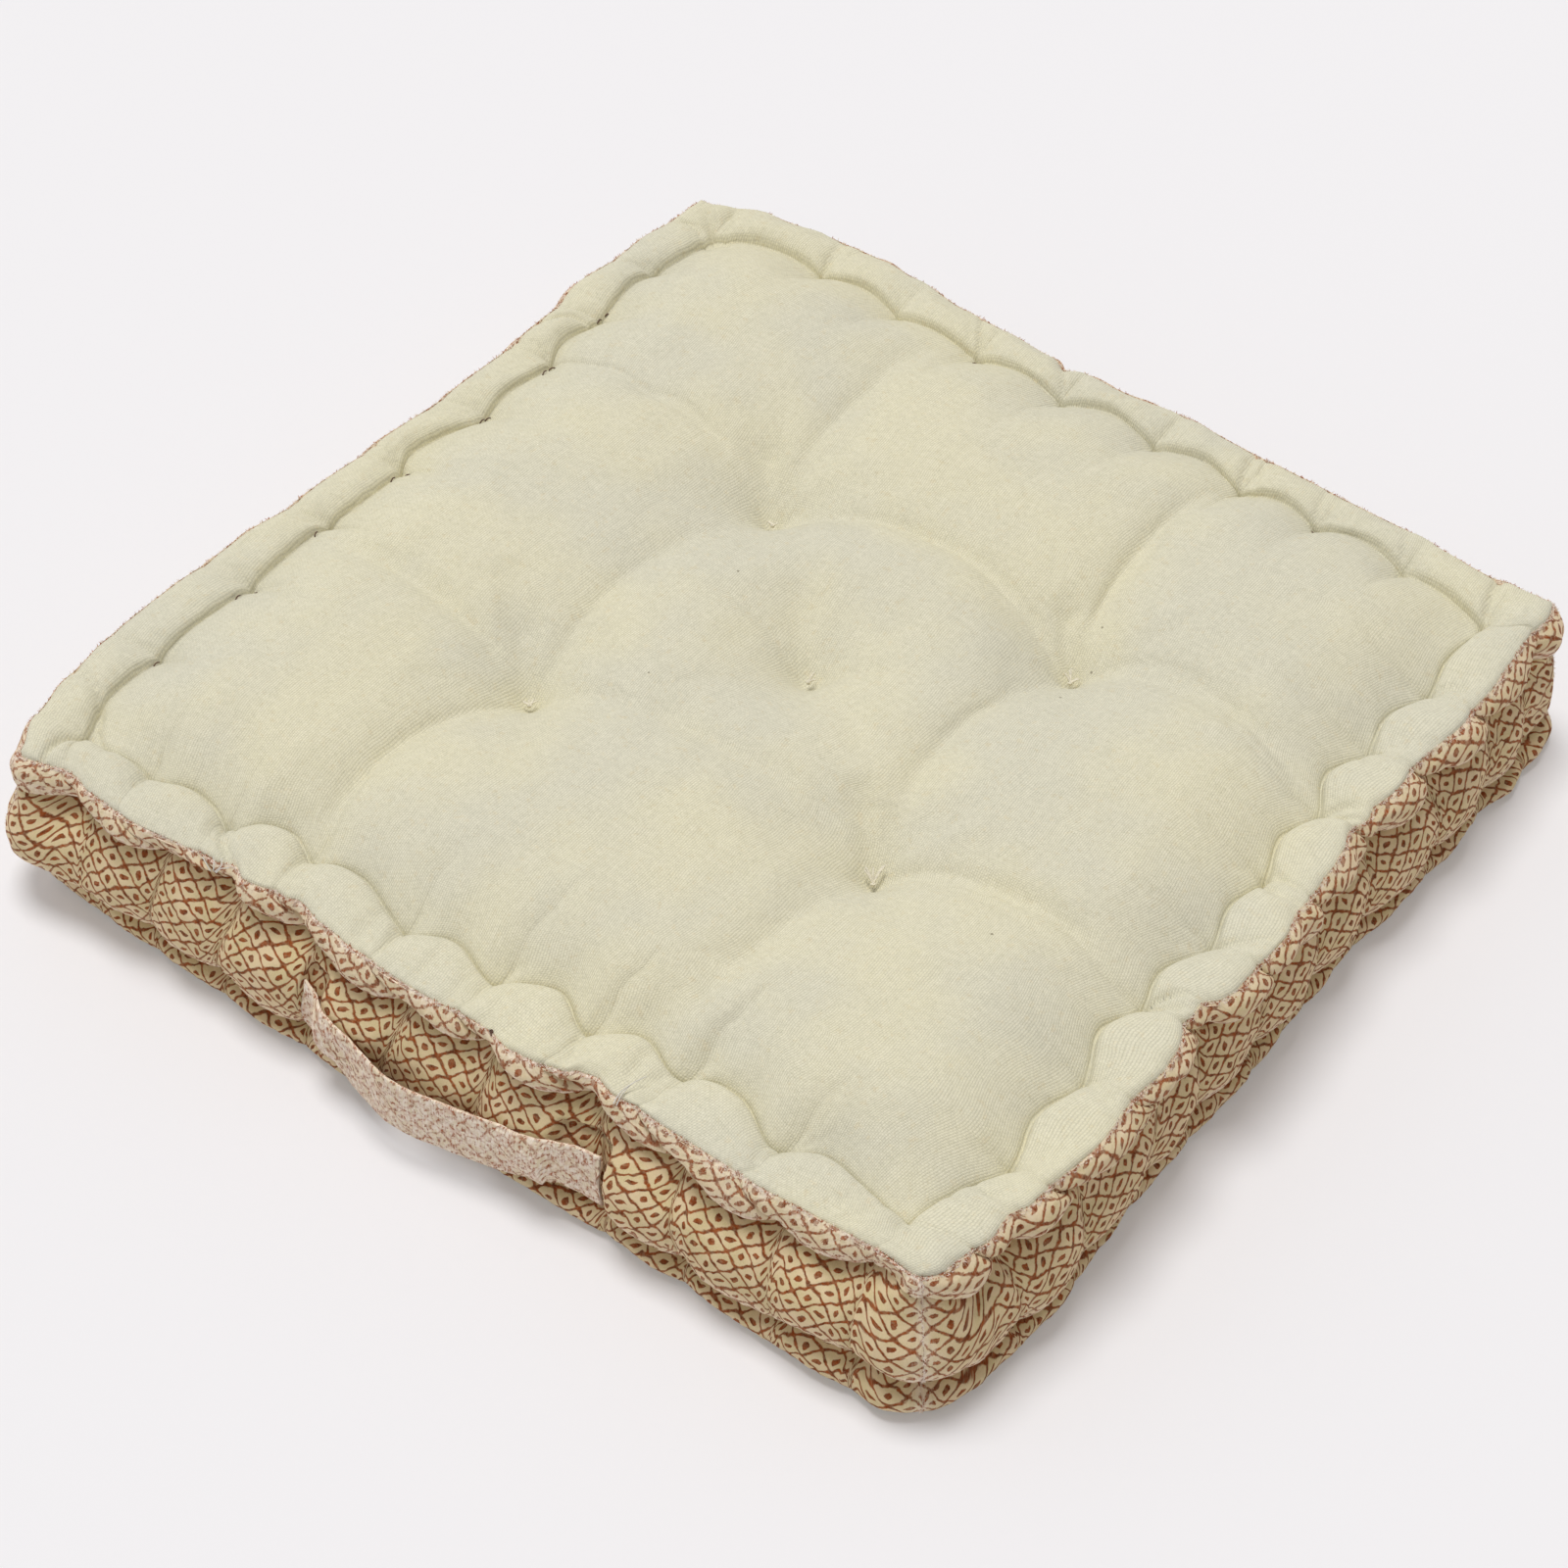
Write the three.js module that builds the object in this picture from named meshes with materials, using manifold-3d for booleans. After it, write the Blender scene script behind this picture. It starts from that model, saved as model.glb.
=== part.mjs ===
// A square floor cushion in millimetres: canvas faces, a printed velvet border, a stitched edge roll all
// round, five tufts and a carry strap on the front side. It lies flat, and the floor is z = 0.
// Sides are walked counter-clockwise from above, so a place along the back or the left side runs
// against x or y.
import * as THREE from "three";
import { mergeVertices } from "three/addons/utils/BufferGeometryUtils.js";
import Module from "manifold-3d";

// Driving sizes
const HALF_SIDE = 300; // from the middle to the top seam
const SEAM_HEIGHT = 98; // top seam above the floor
const ROLL_WIDTH = 29; // top seam to the groove of the edge roll
const VELVET = 2; // thickness of the border cloth
const GAP = 0.3; // clearance between pieces
const CORNER_SHARE = 0.7; // of it that each strip leaves free at a corner seam
const CENTRE = new THREE.Vector2(1.5, 6.5); // middle of the seam square in the part's frame

// Crown of the top face
const CROWN = 18; // height above the top seam
const DOME = 6; // more in the middle
const CROWN_EDGE = 52; // length over which the crown rises from the groove
const STITCH_PULL = 0.45; // share of that rise that a stitch takes away beside it
const STITCH_REACH = 16;

// Edge roll on the canvas side: across is 0 at the seam and 1 at the groove
const ROLL = [
  { at: 0, lobe: 0, stitch: 0 },
  { at: 0.14, lobe: 5, stitch: 1.5 },
  { at: 0.38, lobe: 8, stitch: 2.5 },
  { at: 0.68, lobe: 6, stitch: 0 },
  { at: 1, lobe: -2, stitch: -7 },
];
const ROLL_STEPS = ROLL.map((row) => row.at);

// Section of the border, midway between two stitches (lobe) and at a stitch: how far out of the line
// between the seams, and how far below the top seam. radius rounds the corner.
const BORDER = [
  { part: "top seam", lobeOut: 0, lobeDown: 0, stitchOut: -2, stitchDown: 0, radius: 10 },
  { part: "roll", lobeOut: 4, lobeDown: 5, stitchOut: -1, stitchDown: 4, radius: 12 },
  { part: "roll", lobeOut: 5.5, lobeDown: 12, stitchOut: -3, stitchDown: 8, radius: 14 },
  { part: "roll", lobeOut: 1.5, lobeDown: 20, stitchOut: -7, stitchDown: 12.5, radius: 16 },
  { part: "upper groove", lobeOut: -6, lobeDown: 23.5, stitchOut: -11, stitchDown: 16, radius: 20 },
  { part: "wall", lobeOut: 1, lobeDown: 31, stitchOut: -5, stitchDown: 25, radius: 22 },
  { part: "wall", lobeOut: 7, lobeDown: 45, stitchOut: 1, stitchDown: 42, radius: 24 },
  { part: "wall", lobeOut: 7, lobeDown: 61, stitchOut: 2, stitchDown: 59, radius: 24 },
  { part: "wall", lobeOut: 2, lobeDown: 72, stitchOut: -3, stitchDown: 71, radius: 22 },
  { part: "lower groove", lobeOut: -5, lobeDown: 78, stitchOut: -8, stitchDown: 76, radius: 20 },
  { part: "base roll", lobeOut: 4, lobeDown: 84, stitchOut: 0, stitchDown: 83, radius: 18 },
  { part: "base roll", lobeOut: 4, lobeDown: 91, stitchOut: 1, stitchDown: 91, radius: 18 },
  { part: "base seam", lobeOut: 0, lobeDown: 95, stitchOut: -1, stitchDown: 95, radius: 18 },
];
const UPPER_GROOVE = 20; // depth at which the stitches leave the roll
const LOWER_GROOVE = 77;

// Each side: the places of its stitches in the roll's groove, and in the border's upper and lower
// grooves, then how far the top seam and the foot bow out of the true square.
const SIDES = [
  {
    name: "front",
    turn: 0,
    stitches: [
      { groove: -271, upper: -250, lower: -250 },
      { groove: -220, upper: -195, lower: -207 },
      { groove: -174, upper: -145, lower: -157 },
      { groove: -121, upper: -95, lower: -98 },
      { groove: -50, upper: -25, lower: -38 },
      { groove: 10, upper: 30, lower: 28 },
      { groove: 66, upper: 98, lower: 110 },
      { groove: 122, upper: 153, lower: 162 },
      { groove: 190, upper: 215, lower: 222 },
      { groove: 271, upper: 268, lower: 272 },
    ],
    bow: [
      { at: -300, seam: 0, foot: -7 },
      { at: -250, seam: -3, foot: -1 },
      { at: -190, seam: 0, foot: 5 },
      { at: -100, seam: -7, foot: 11 },
      { at: -45, seam: 1, foot: 15 },
      { at: 55, seam: 4, foot: 16 },
      { at: 98, seam: -6, foot: 16 },
      { at: 130, seam: -1, foot: 17 },
      { at: 250, seam: -1, foot: 17 },
      { at: 300, seam: 0, foot: 4 },
    ],
  },
  {
    name: "right",
    turn: 90,
    stitches: [
      { groove: -271, upper: -249, lower: -245 },
      { groove: -216, upper: -188, lower: -190 },
      { groove: -145, upper: -130, lower: -135 },
      { groove: -87, upper: -68, lower: -78 },
      { groove: -32, upper: -12, lower: -20 },
      { groove: 24, upper: 45, lower: 38 },
      { groove: 84, upper: 99, lower: 95 },
      { groove: 140, upper: 163, lower: 155 },
      { groove: 195, upper: 224, lower: 215 },
      { groove: 271, upper: 265, lower: 268 },
    ],
    bow: [
      { at: -300, seam: 0, foot: 4 },
      { at: -250, seam: 9, foot: 12 },
      { at: -180, seam: 21, foot: 20 },
      { at: -105, seam: 18, foot: 14 },
      { at: -68, seam: 8, foot: 11 },
      { at: -26, seam: 17, foot: 9 },
      { at: 20, seam: 11, foot: 6 },
      { at: 84, seam: 5, foot: 5 },
      { at: 160, seam: 8, foot: 9 },
      { at: 240, seam: 5, foot: 9 },
      { at: 300, seam: 0, foot: 4 },
    ],
  },
  {
    name: "back",
    turn: 180,
    stitches: [
      { groove: -271, upper: -255, lower: -252 },
      { groove: -220, upper: -200, lower: -205 },
      { groove: -164, upper: -142, lower: -150 },
      { groove: -103, upper: -82, lower: -88 },
      { groove: -41, upper: -20, lower: -28 },
      { groove: 20, upper: 40, lower: 33 },
      { groove: 80, upper: 102, lower: 94 },
      { groove: 130, upper: 155, lower: 148 },
      { groove: 197, upper: 215, lower: 208 },
      { groove: 271, upper: 266, lower: 262 },
    ],
    bow: [
      { at: -300, seam: 0, foot: 4 },
      { at: -200, seam: 5, foot: 9 },
      { at: -50, seam: 11, foot: 10 },
      { at: 30, seam: 5, foot: 12 },
      { at: 150, seam: 20, foot: 12 },
      { at: 200, seam: 22, foot: 10 },
      { at: 300, seam: 0, foot: 0 },
    ],
  },
  {
    name: "left",
    turn: 270,
    stitches: [
      { groove: -271, upper: -252, lower: -250 },
      { groove: -222, upper: -200, lower: -206 },
      { groove: -175, upper: -152, lower: -158 },
      { groove: -118, upper: -96, lower: -102 },
      { groove: -58, upper: -36, lower: -42 },
      { groove: 3, upper: 24, lower: 18 },
      { groove: 65, upper: 88, lower: 80 },
      { groove: 128, upper: 148, lower: 142 },
      { groove: 195, upper: 214, lower: 208 },
      { groove: 271, upper: 265, lower: 262 },
    ],
    bow: [
      { at: -300, seam: 0, foot: 0 },
      { at: -190, seam: 10, foot: 7 },
      { at: -110, seam: 5, foot: 9 },
      { at: 0, seam: 12, foot: 9 },
      { at: 100, seam: 21, foot: 10 },
      { at: 200, seam: 25, foot: 6 },
      { at: 300, seam: 0, foot: -7 },
    ],
  },
];

// Tufts: place from the middle, and how far the top and the base are pulled in
const TUFTS = [
  { name: "front_left", x: -111, y: -97, sink: 27, lift: 14 },
  { name: "front_right", x: 119, y: -93, sink: 27, lift: 14 },
  { name: "back_left", x: -95, y: 102, sink: 27, lift: 14 },
  { name: "back_right", x: 114, y: 97, sink: 27, lift: 14 },
  { name: "centre", x: 4, y: 4, sink: 25, lift: 14 },
];
const TUFT_REACH = 28; // how fast the cloth rises out of a tuft
const CREASE_ROUND = 4; // rounding at the bottom of a tuft or a valley
const DRAW_REACH = 30; // how far the face's grid is drawn towards a tuft
const BASE_TUFT = 34; // radius of a tuft's hollow in the base
const BASE_TUFT_SIDES = 12;
const BASE_TUFT_SECTION = [
  { radius: 1, lifted: 0 },
  { radius: 0.7, lifted: 0.2 },
  { radius: 0.35, lifted: 0.6 },
];

// Valleys between the puffs, each from one point by way of a second to a third
const VALLEYS = [
  { name: "front left to front", x1: -111, y1: -97, x2: -148, y2: -190, x3: -125, y3: -266, depth: 9, reach: 15 },
  { name: "front left to left", x1: -111, y1: -97, x2: -160, y2: -74, x3: -280, y3: -72, depth: 8, reach: 18 },
  { name: "left pair", x1: -111, y1: -97, x2: -126, y2: 5, x3: -95, y3: 102, depth: 9, reach: 26 },
  { name: "front pair", x1: -111, y1: -97, x2: 2, y2: -66, x3: 119, y3: -93, depth: 7, reach: 24 },
  { name: "back pair", x1: -95, y1: 102, x2: 12, y2: 150, x3: 114, y3: 97, depth: 11, reach: 21 },
  { name: "right pair", x1: 119, y1: -93, x2: 84, y2: 5, x3: 114, y3: 97, depth: 9, reach: 23 },
  { name: "back left to back", x1: -95, y1: 102, x2: -108, y2: 180, x3: -103, y3: 270, depth: 8, reach: 22 },
  { name: "back right to back", x1: 114, y1: 97, x2: 88, y2: 190, x3: 103, y3: 272, depth: 8, reach: 17 },
  { name: "back left to left", x1: -95, y1: 102, x2: -160, y2: 138, x3: -272, y3: 124, depth: 5.5, reach: 25 },
  { name: "back right to right", x1: 114, y1: 97, x2: 190, y2: 132, x3: 284, y3: 86, depth: 9, reach: 16 },
  { name: "front right to right", x1: 119, y1: -93, x2: 180, y2: -58, x3: 287, y3: -88, depth: 9, reach: 15 },
  { name: "front right to front", x1: 119, y1: -93, x2: 106, y2: -180, x3: 108, y3: -268, depth: 5.5, reach: 22 },
];

// Base: rings of the canvas inwards from the base seam, with the height at each
const BASE_RINGS = [
  { inwards: 8, height: 0.8 },
  { inwards: 14, height: 0 },
  { inwards: 24, height: 0 },
  { inwards: 30, height: 4 },
  { inwards: 38, height: 0 },
];

// Carry strap, sewn flat to the front border at both ends and sagging between them
const STRAP = {
  left: -86, // its ends along the front side
  right: 111,
  sewn: 30, // length of each sewn end
  width: 36,
  thickness: 3.2,
  standOff: 15, // clearance behind it in the middle
  endDepth: 43, // middle of the strap below the top seam, at the ends
  sag: 9,
  steps: 22,
};
const SEWN_PULL = 5; // how far a sewn end draws the wall in
const SEAT_MARGIN = 18; // stretch of wall looked at beside a sewn end
const STRAP_ARCH = 0.8; // under 1 the strap leaves the wall steeply
const SEAT_BAND = 10; // and above and below each line of it

// Thread ties
const KNOT_RADIUS = 2.2;
const KNOT_SEAT = 3.4; // middle of a knot over the bottom of its tuft
const THREAD_RADIUS = 0.8;
const TIES = [
  { tuft: "front_left", ends: [{ turn: 60, rise: 40, length: 6 }, { turn: 200, rise: 35, length: 5 }] },
  { tuft: "front_right", ends: [{ turn: 95, rise: 50, length: 14 }, { turn: 150, rise: 40, length: 10 }] },
  { tuft: "back_left", ends: [{ turn: 20, rise: 40, length: 4 }, { turn: 190, rise: 40, length: 4 }] },
  { tuft: "back_right", ends: [{ turn: 120, rise: 45, length: 9 }, { turn: 30, rise: 40, length: 6 }] },
  { tuft: "centre", ends: [{ turn: 80, rise: 55, length: 7 }, { turn: 20, rise: 45, length: 5 }] },
];

// Materials
const canvas = new THREE.MeshStandardMaterial({ color: 0xdbd6ba, roughness: 0.95, metalness: 0 });
const velvet = new THREE.MeshStandardMaterial({ color: 0xb28d68, roughness: 0.9, metalness: 0 });
const paleVelvet = new THREE.MeshStandardMaterial({ color: 0xcbb09c, roughness: 0.9, metalness: 0 });
const thread = new THREE.MeshStandardMaterial({ color: 0xe9dfbd, roughness: 0.8, metalness: 0 });

const { lerp, clamp, smoothstep, degToRad } = THREE.MathUtils;

// A column of a table at a place between its rows, eased from row to row
function read(table, column, at) {
  const next = table.findIndex((row) => row.at >= at);
  if (next === 0) return table[0][column];
  if (next < 0) return table[table.length - 1][column];
  const [low, high] = [table[next - 1], table[next]];
  return lerp(low[column], high[column], smoothstep(at, low.at, high.at));
}

// Steps along a side, counted in stitches: 0 and LAST are the corner seams, and the whole numbers
// between them are stitches
const LAST = SIDES[0].stitches.length + 1;
const STEPS = [...ROLL_STEPS, 1.22, 1.55, 2];
for (let stitch = 2; stitch < LAST - 2; stitch++)
  STEPS.push(stitch + 1 / 3, stitch + 2 / 3, stitch + 1);
STEPS.push(LAST - 1.55, LAST - 1.22, LAST - 1);
STEPS.push(...ROLL_STEPS.slice(0, -1).reverse().map((step) => LAST - step));

// How full the cloth stands at a step: 0 at a stitch, 1 midway between two and at a corner
function fullness(step) {
  const fromCorner = Math.min(step, LAST - step);
  if (fromCorner < 1) return (1 - fromCorner ** 2) ** 0.55;
  const f = step % 1;
  return (4 * f * (1 - f)) ** 0.55;
}

// Where a step lies along a side, by the stitches of one column
function place(side, column, step) {
  const edge = (i) => (i <= 0 ? -HALF_SIDE : i >= LAST ? HALF_SIDE : side.stitches[i - 1][column]);
  const low = Math.floor(step);
  return lerp(edge(low), edge(low + 1), step - low);
}

// A point out of the side line, turned to its side and set on the seam square's centre. Near a corner
// the line follows a round of the radius given.
function outlinePoint(side, along, out, radius, height) {
  const toCorner = HALF_SIDE - Math.abs(along);
  const point = new THREE.Vector2(along, -HALF_SIDE);
  const normal = new THREE.Vector2(0, -1);
  if (toCorner < radius) {
    const angle = (1 - toCorner / radius) * (Math.PI / 4);
    normal.set(Math.sign(along) * Math.sin(angle), -Math.cos(angle));
    point.set(Math.sign(along) * (HALF_SIDE - radius), radius - HALF_SIDE).addScaledVector(normal, radius);
  }
  point.addScaledVector(normal, out).rotateAround(new THREE.Vector2(), degToRad(side.turn)).add(CENTRE);
  return new THREE.Vector3(point.x, point.y, height);
}

// The outer face of the border at a step along a side and a row of its section
function borderPoint(side, step, row) {
  const full = fullness(step);
  const down = lerp(row.stitchDown, row.lobeDown, full);
  const upper = lerp(place(side, "groove", step), place(side, "upper", step), smoothstep(down, 0, UPPER_GROOVE));
  const along = lerp(upper, place(side, "lower", step), smoothstep(down, UPPER_GROOVE, LOWER_GROOVE));
  const bow = lerp(read(side.bow, "seam", along), read(side.bow, "foot", along), smoothstep(down, 0, LOWER_GROOVE));
  const out = bow + lerp(row.stitchOut, row.lobeOut, full) - sewnDown(side, along, down);
  return outlinePoint(side, along, out, row.radius, SEAM_HEIGHT - down);
}

// The wall is pulled in where the strap is sewn on
function sewnDown(side, along, down) {
  if (side.name !== "front") return 0;
  const reach = (value, middle, half) => 1 - smoothstep(Math.abs(value - middle), half * 0.6, half * 1.6);
  const half = STRAP.sewn / 2;
  const ends = reach(along, STRAP.left + half, half) + reach(along, STRAP.right - half, half);
  return SEWN_PULL * ends * reach(down, STRAP.endDepth, STRAP.width / 2);
}

// Outer faces of the four sides as grids of rows by steps
const outer = SIDES.map((side) => BORDER.map((row) => STEPS.map((step) => borderPoint(side, step, row))));

// Outward normals of a grid whose rows run down and whose columns run counter-clockwise
function gridNormals(grid) {
  return grid.map((row, r) =>
    row.map((_, c) => {
      const down = new THREE.Vector3().subVectors(
        grid[Math.min(r + 1, grid.length - 1)][c],
        grid[Math.max(r - 1, 0)][c],
      );
      const along = new THREE.Vector3().subVectors(row[Math.min(c + 1, row.length - 1)], row[Math.max(c - 1, 0)]);
      return down.cross(along).normalize();
    }),
  );
}

// The faces mitred at the corners, so that a layer inside them closes there
const normals = outer.map(gridNormals);
outer.forEach((grid, s) => {
  const next = normals[(s + 1) % outer.length];
  grid.forEach((row, r) => {
    const here = normals[s][r][row.length - 1];
    const there = next[r][0];
    const mitre = new THREE.Vector3().addVectors(here, there).divideScalar(1 + here.dot(there));
    normals[s][r][row.length - 1] = mitre;
    next[r][0] = mitre.clone();
  });
});

// A side's face moved inwards
function layer(s, depth) {
  return outer[s].map((row, r) => row.map((p, c) => p.clone().addScaledVector(normals[s][r][c], -depth)));
}

// Collects triangles and turns them into a mesh
class Skin {
  positions = [];

  triangle(a, b, c) {
    for (const p of [a, b, c]) this.positions.push(p.x, p.y, p.z);
  }

  // A grid of points seen from its front, rows running down and columns to the right
  grid(rows, backFacing = false) {
    for (let r = 0; r + 1 < rows.length; r++)
      for (let c = 0; c + 1 < rows[r].length; c++) {
        const [a, b] = [rows[r][c], rows[r][c + 1]];
        const [d, e] = [rows[r + 1][c], rows[r + 1][c + 1]];
        if (backFacing) {
          this.triangle(a, b, d);
          this.triangle(b, e, d);
        } else {
          this.triangle(a, d, b);
          this.triangle(b, d, e);
        }
      }
  }

  mesh(name, material) {
    const geometry = new THREE.BufferGeometry();
    geometry.setAttribute("position", new THREE.Float32BufferAttribute(this.positions, 3));
    geometry.computeVertexNormals();
    const made = new THREE.Mesh(geometry, material);
    made.name = name;
    return made;
  }
}

// Distance to a valley's curve, from a few points along it
function valleyDistance(valley, x, y) {
  const [a, b, c] = [
    new THREE.Vector2(valley.x1, valley.y1),
    new THREE.Vector2(valley.x2, valley.y2),
    new THREE.Vector2(valley.x3, valley.y3),
  ];
  const points = new THREE.QuadraticBezierCurve(a, b, c).getPoints(8);
  const p = new THREE.Vector2(x, y);
  let nearest = Infinity;
  for (let i = 0; i + 1 < points.length; i++) {
    const run = points[i + 1].clone().sub(points[i]);
    const share = clamp(p.clone().sub(points[i]).dot(run) / run.lengthSq(), 0, 1);
    nearest = Math.min(nearest, p.distanceTo(points[i].clone().addScaledVector(run, share)));
  }
  return nearest;
}

// 1 at the bottom of a crease and falling to 0 with distance
const crease = (distance, reach) => Math.exp(-(Math.hypot(distance, CREASE_ROUND) - CREASE_ROUND) / reach);

// Height of the puffed face above the top seam, away from its edges
function puff(x, y) {
  const dome = (1 - (x / HALF_SIDE) ** 2) * (1 - (y / HALF_SIDE) ** 2);
  const valleys = VALLEYS.map((valley) => valley.depth * crease(valleyDistance(valley, x, y), valley.reach));
  const tufts = TUFTS.map((tuft) => tuft.sink * crease(Math.hypot(x - tuft.x, y - tuft.y), TUFT_REACH));
  return CROWN + DOME * dome - Math.max(...valleys) - tufts.reduce((sum, sink) => sum + sink, 0);
}

// The top face at a step across (from the left side) and a step up (from the front side)
const [front, right, back, left] = SIDES;

// A place on the face as if its seams were straight
function squarePlace(across, up) {
  const xs = [place(front, "groove", across), -place(back, "groove", LAST - across)];
  const ys = [-place(left, "groove", LAST - up), place(right, "groove", up)];
  const u = (xs[0] + xs[1]) / (4 * HALF_SIDE) + 0.5;
  const v = (ys[0] + ys[1]) / (4 * HALF_SIDE) + 0.5;
  return { u, v, x: lerp(xs[0], xs[1], v), y: lerp(ys[0], ys[1], u) };
}

// The same place between the four bowed seams
function topPlace(across, up) {
  const { u, v } = squarePlace(across, up);
  const seam = (side, step) => borderPoint(side, step, BORDER[0]);
  const frontToBack = seam(front, across).lerp(seam(back, LAST - across), v);
  const leftToRight = seam(left, LAST - up).lerp(seam(right, up), u);
  const frontCorners = seam(front, 0).lerp(seam(front, LAST), u);
  const backCorners = seam(back, LAST).lerp(seam(back, 0), u);
  return frontToBack.add(leftToRight).sub(frontCorners.lerp(backCorners, v));
}

// Height over the top seam at a step across and up, which lies at x and y from the middle
function topHeight(across, up, x, y) {
  const a = Math.min(across, LAST - across);
  const b = Math.min(up, LAST - up);
  const full = fullness(a < b ? up : across);
  const onRoll = Math.min(a, b, 1);
  const roll = lerp(read(ROLL, "stitch", onRoll), read(ROLL, "lobe", onRoll), full);
  if (onRoll < 1) return roll;
  const square = squarePlace(across, up);
  const climb = (distance, beside) => {
    const e = Math.max(HALF_SIDE - ROLL_WIDTH - distance, 0);
    const round = Math.sqrt(1 - (1 - Math.min(e / CROWN_EDGE, 1)) ** 2);
    return round * (1 - STITCH_PULL * (1 - beside) * Math.exp(-e / STITCH_REACH));
  };
  const rise = climb(Math.abs(square.x), fullness(up)) * climb(Math.abs(square.y), fullness(across));
  return lerp(roll, puff(x, y), rise);
}

// Grid of the top face, with a point drawn to the bottom of each tuft. Its rim is the inside of the
// border.
function topGrid(rim) {
  const rows = STEPS.map((up) => STEPS.map((across) => topPlace(across, up)));
  const flat = rows.flat();
  for (const tuft of TUFTS) {
    const target = new THREE.Vector2(tuft.x, tuft.y).add(CENTRE);
    const away = (p) => Math.hypot(p.x - target.x, p.y - target.y);
    const nearest = flat.reduce((best, p) => (away(p) < away(best) ? p : best)).clone();
    for (const p of flat) {
      const pull = Math.exp(-(((p.x - nearest.x) ** 2 + (p.y - nearest.y) ** 2) / (2 * DRAW_REACH ** 2)));
      p.x += (target.x - nearest.x) * pull;
      p.y += (target.y - nearest.y) * pull;
    }
  }
  rows.forEach((row, j) =>
    row.forEach((p, i) => {
      p.z = SEAM_HEIGHT + topHeight(STEPS[i], STEPS[j], p.x - CENTRE.x, p.y - CENTRE.y);
    }),
  );
  const last = STEPS.length - 1;
  STEPS.forEach((_, i) => {
    rows[0][i] = rim[0][i];
    rows[i][last] = rim[1][i];
    rows[last][last - i] = rim[2][i];
    rows[last - i][0] = rim[3][i];
  });
  return rows;
}

// The filled cushion: top face, the walls behind the border, and the base
function filledCushion() {
  const skin = new Skin();
  const walls = SIDES.map((_, s) => layer(s, VELVET + GAP));
  walls.forEach((wall) => skin.grid(wall));
  skin.grid(topGrid(walls.map((wall) => wall[0])).reverse());

  // Rings of the base, each closed through the four sides
  const ring = ({ inwards, height }) =>
    SIDES.flatMap((side) =>
      STEPS.slice(0, -1).map((step) => {
        const along = place(side, "lower", step);
        const scale = 1 - inwards / HALF_SIDE;
        const bow = read(side.bow, "foot", along) + BORDER.at(-1).stitchOut;
        const point = outlinePoint(side, along, bow, BORDER.at(-1).radius, height);
        point.x = CENTRE.x + (point.x - CENTRE.x) * scale;
        point.y = CENTRE.y + (point.y - CENTRE.y) * scale;
        return point;
      }),
    );
  const rings = [walls.flatMap((wall) => wall.at(-1).slice(0, -1)), ...BASE_RINGS.map(ring)];
  skin.grid(rings.map((points) => [...points, points[0]]));

  // The flat of the base, with a hollow under each tuft
  const flatRing = rings.at(-1);
  const hollow = ({ x, y, lift }) =>
    BASE_TUFT_SECTION.map(({ radius, lifted }) =>
      Array.from({ length: BASE_TUFT_SIDES }, (_, i) => {
        const angle = (i / BASE_TUFT_SIDES) * 2 * Math.PI;
        return new THREE.Vector3(
          CENTRE.x + x + radius * BASE_TUFT * Math.cos(angle),
          CENTRE.y + y + radius * BASE_TUFT * Math.sin(angle),
          lifted * lift,
        );
      }),
    );
  const hollows = TUFTS.map(hollow);
  const holes = hollows.map((rims) => rims[0]);
  const faces = THREE.ShapeUtils.triangulateShape(flatRing, holes);
  const points = [flatRing, ...holes].flat();
  for (const [a, b, c] of faces) skin.triangle(points[a], points[c], points[b]);
  hollows.forEach((rims, t) => {
    skin.grid(rims.map((rim) => [...rim, rim[0]]));
    const { x, y, lift } = TUFTS[t];
    const top = new THREE.Vector3(CENTRE.x + x, CENTRE.y + y, lift);
    const last = rims.at(-1);
    last.forEach((p, i) => skin.triangle(p, top, last[(i + 1) % last.length]));
  });
  return skin.mesh("filled_cushion", canvas);
}

// A cloth sheet between two like grids, the first one in front
function sheet(name, face, reverse, material) {
  const skin = new Skin();
  const column = (rows, c) => rows.map((row) => row.at(c));
  skin.grid(face);
  skin.grid(reverse, true);
  skin.grid([reverse[0], face[0]]);
  skin.grid([face.at(-1), reverse.at(-1)]);
  skin.grid([column(reverse, 0), column(face, 0)], true);
  skin.grid([column(face, -1), column(reverse, -1)], true);
  return skin.mesh(name, material);
}

// A strip of the border, its ends drawn back from the corner seams
function borderStrip(s) {
  const trimmed = (rows) =>
    rows.map((row) => {
      const cut = row.map((p) => p.clone());
      const inwards = (end, beside) => beside.clone().sub(end).setLength(GAP * CORNER_SHARE);
      cut[0].add(inwards(row[0], row[1]));
      cut.at(-1).add(inwards(row.at(-1), row.at(-2)));
      return cut;
    });
  return sheet(`border_${SIDES[s].name}`, trimmed(layer(s, 0)), trimmed(layer(s, VELVET)), velvet);
}

// How far out the front border stands over a stretch of it
function borderReach(from, to, top, bottom) {
  const inside = outer[0].flat().filter((p) => {
    const [x, down] = [p.x - CENTRE.x, SEAM_HEIGHT - p.z];
    return x > from && x < to && down > top && down < bottom;
  });
  return Math.max(...inside.map((p) => CENTRE.y - HALF_SIDE - p.y));
}

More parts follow.
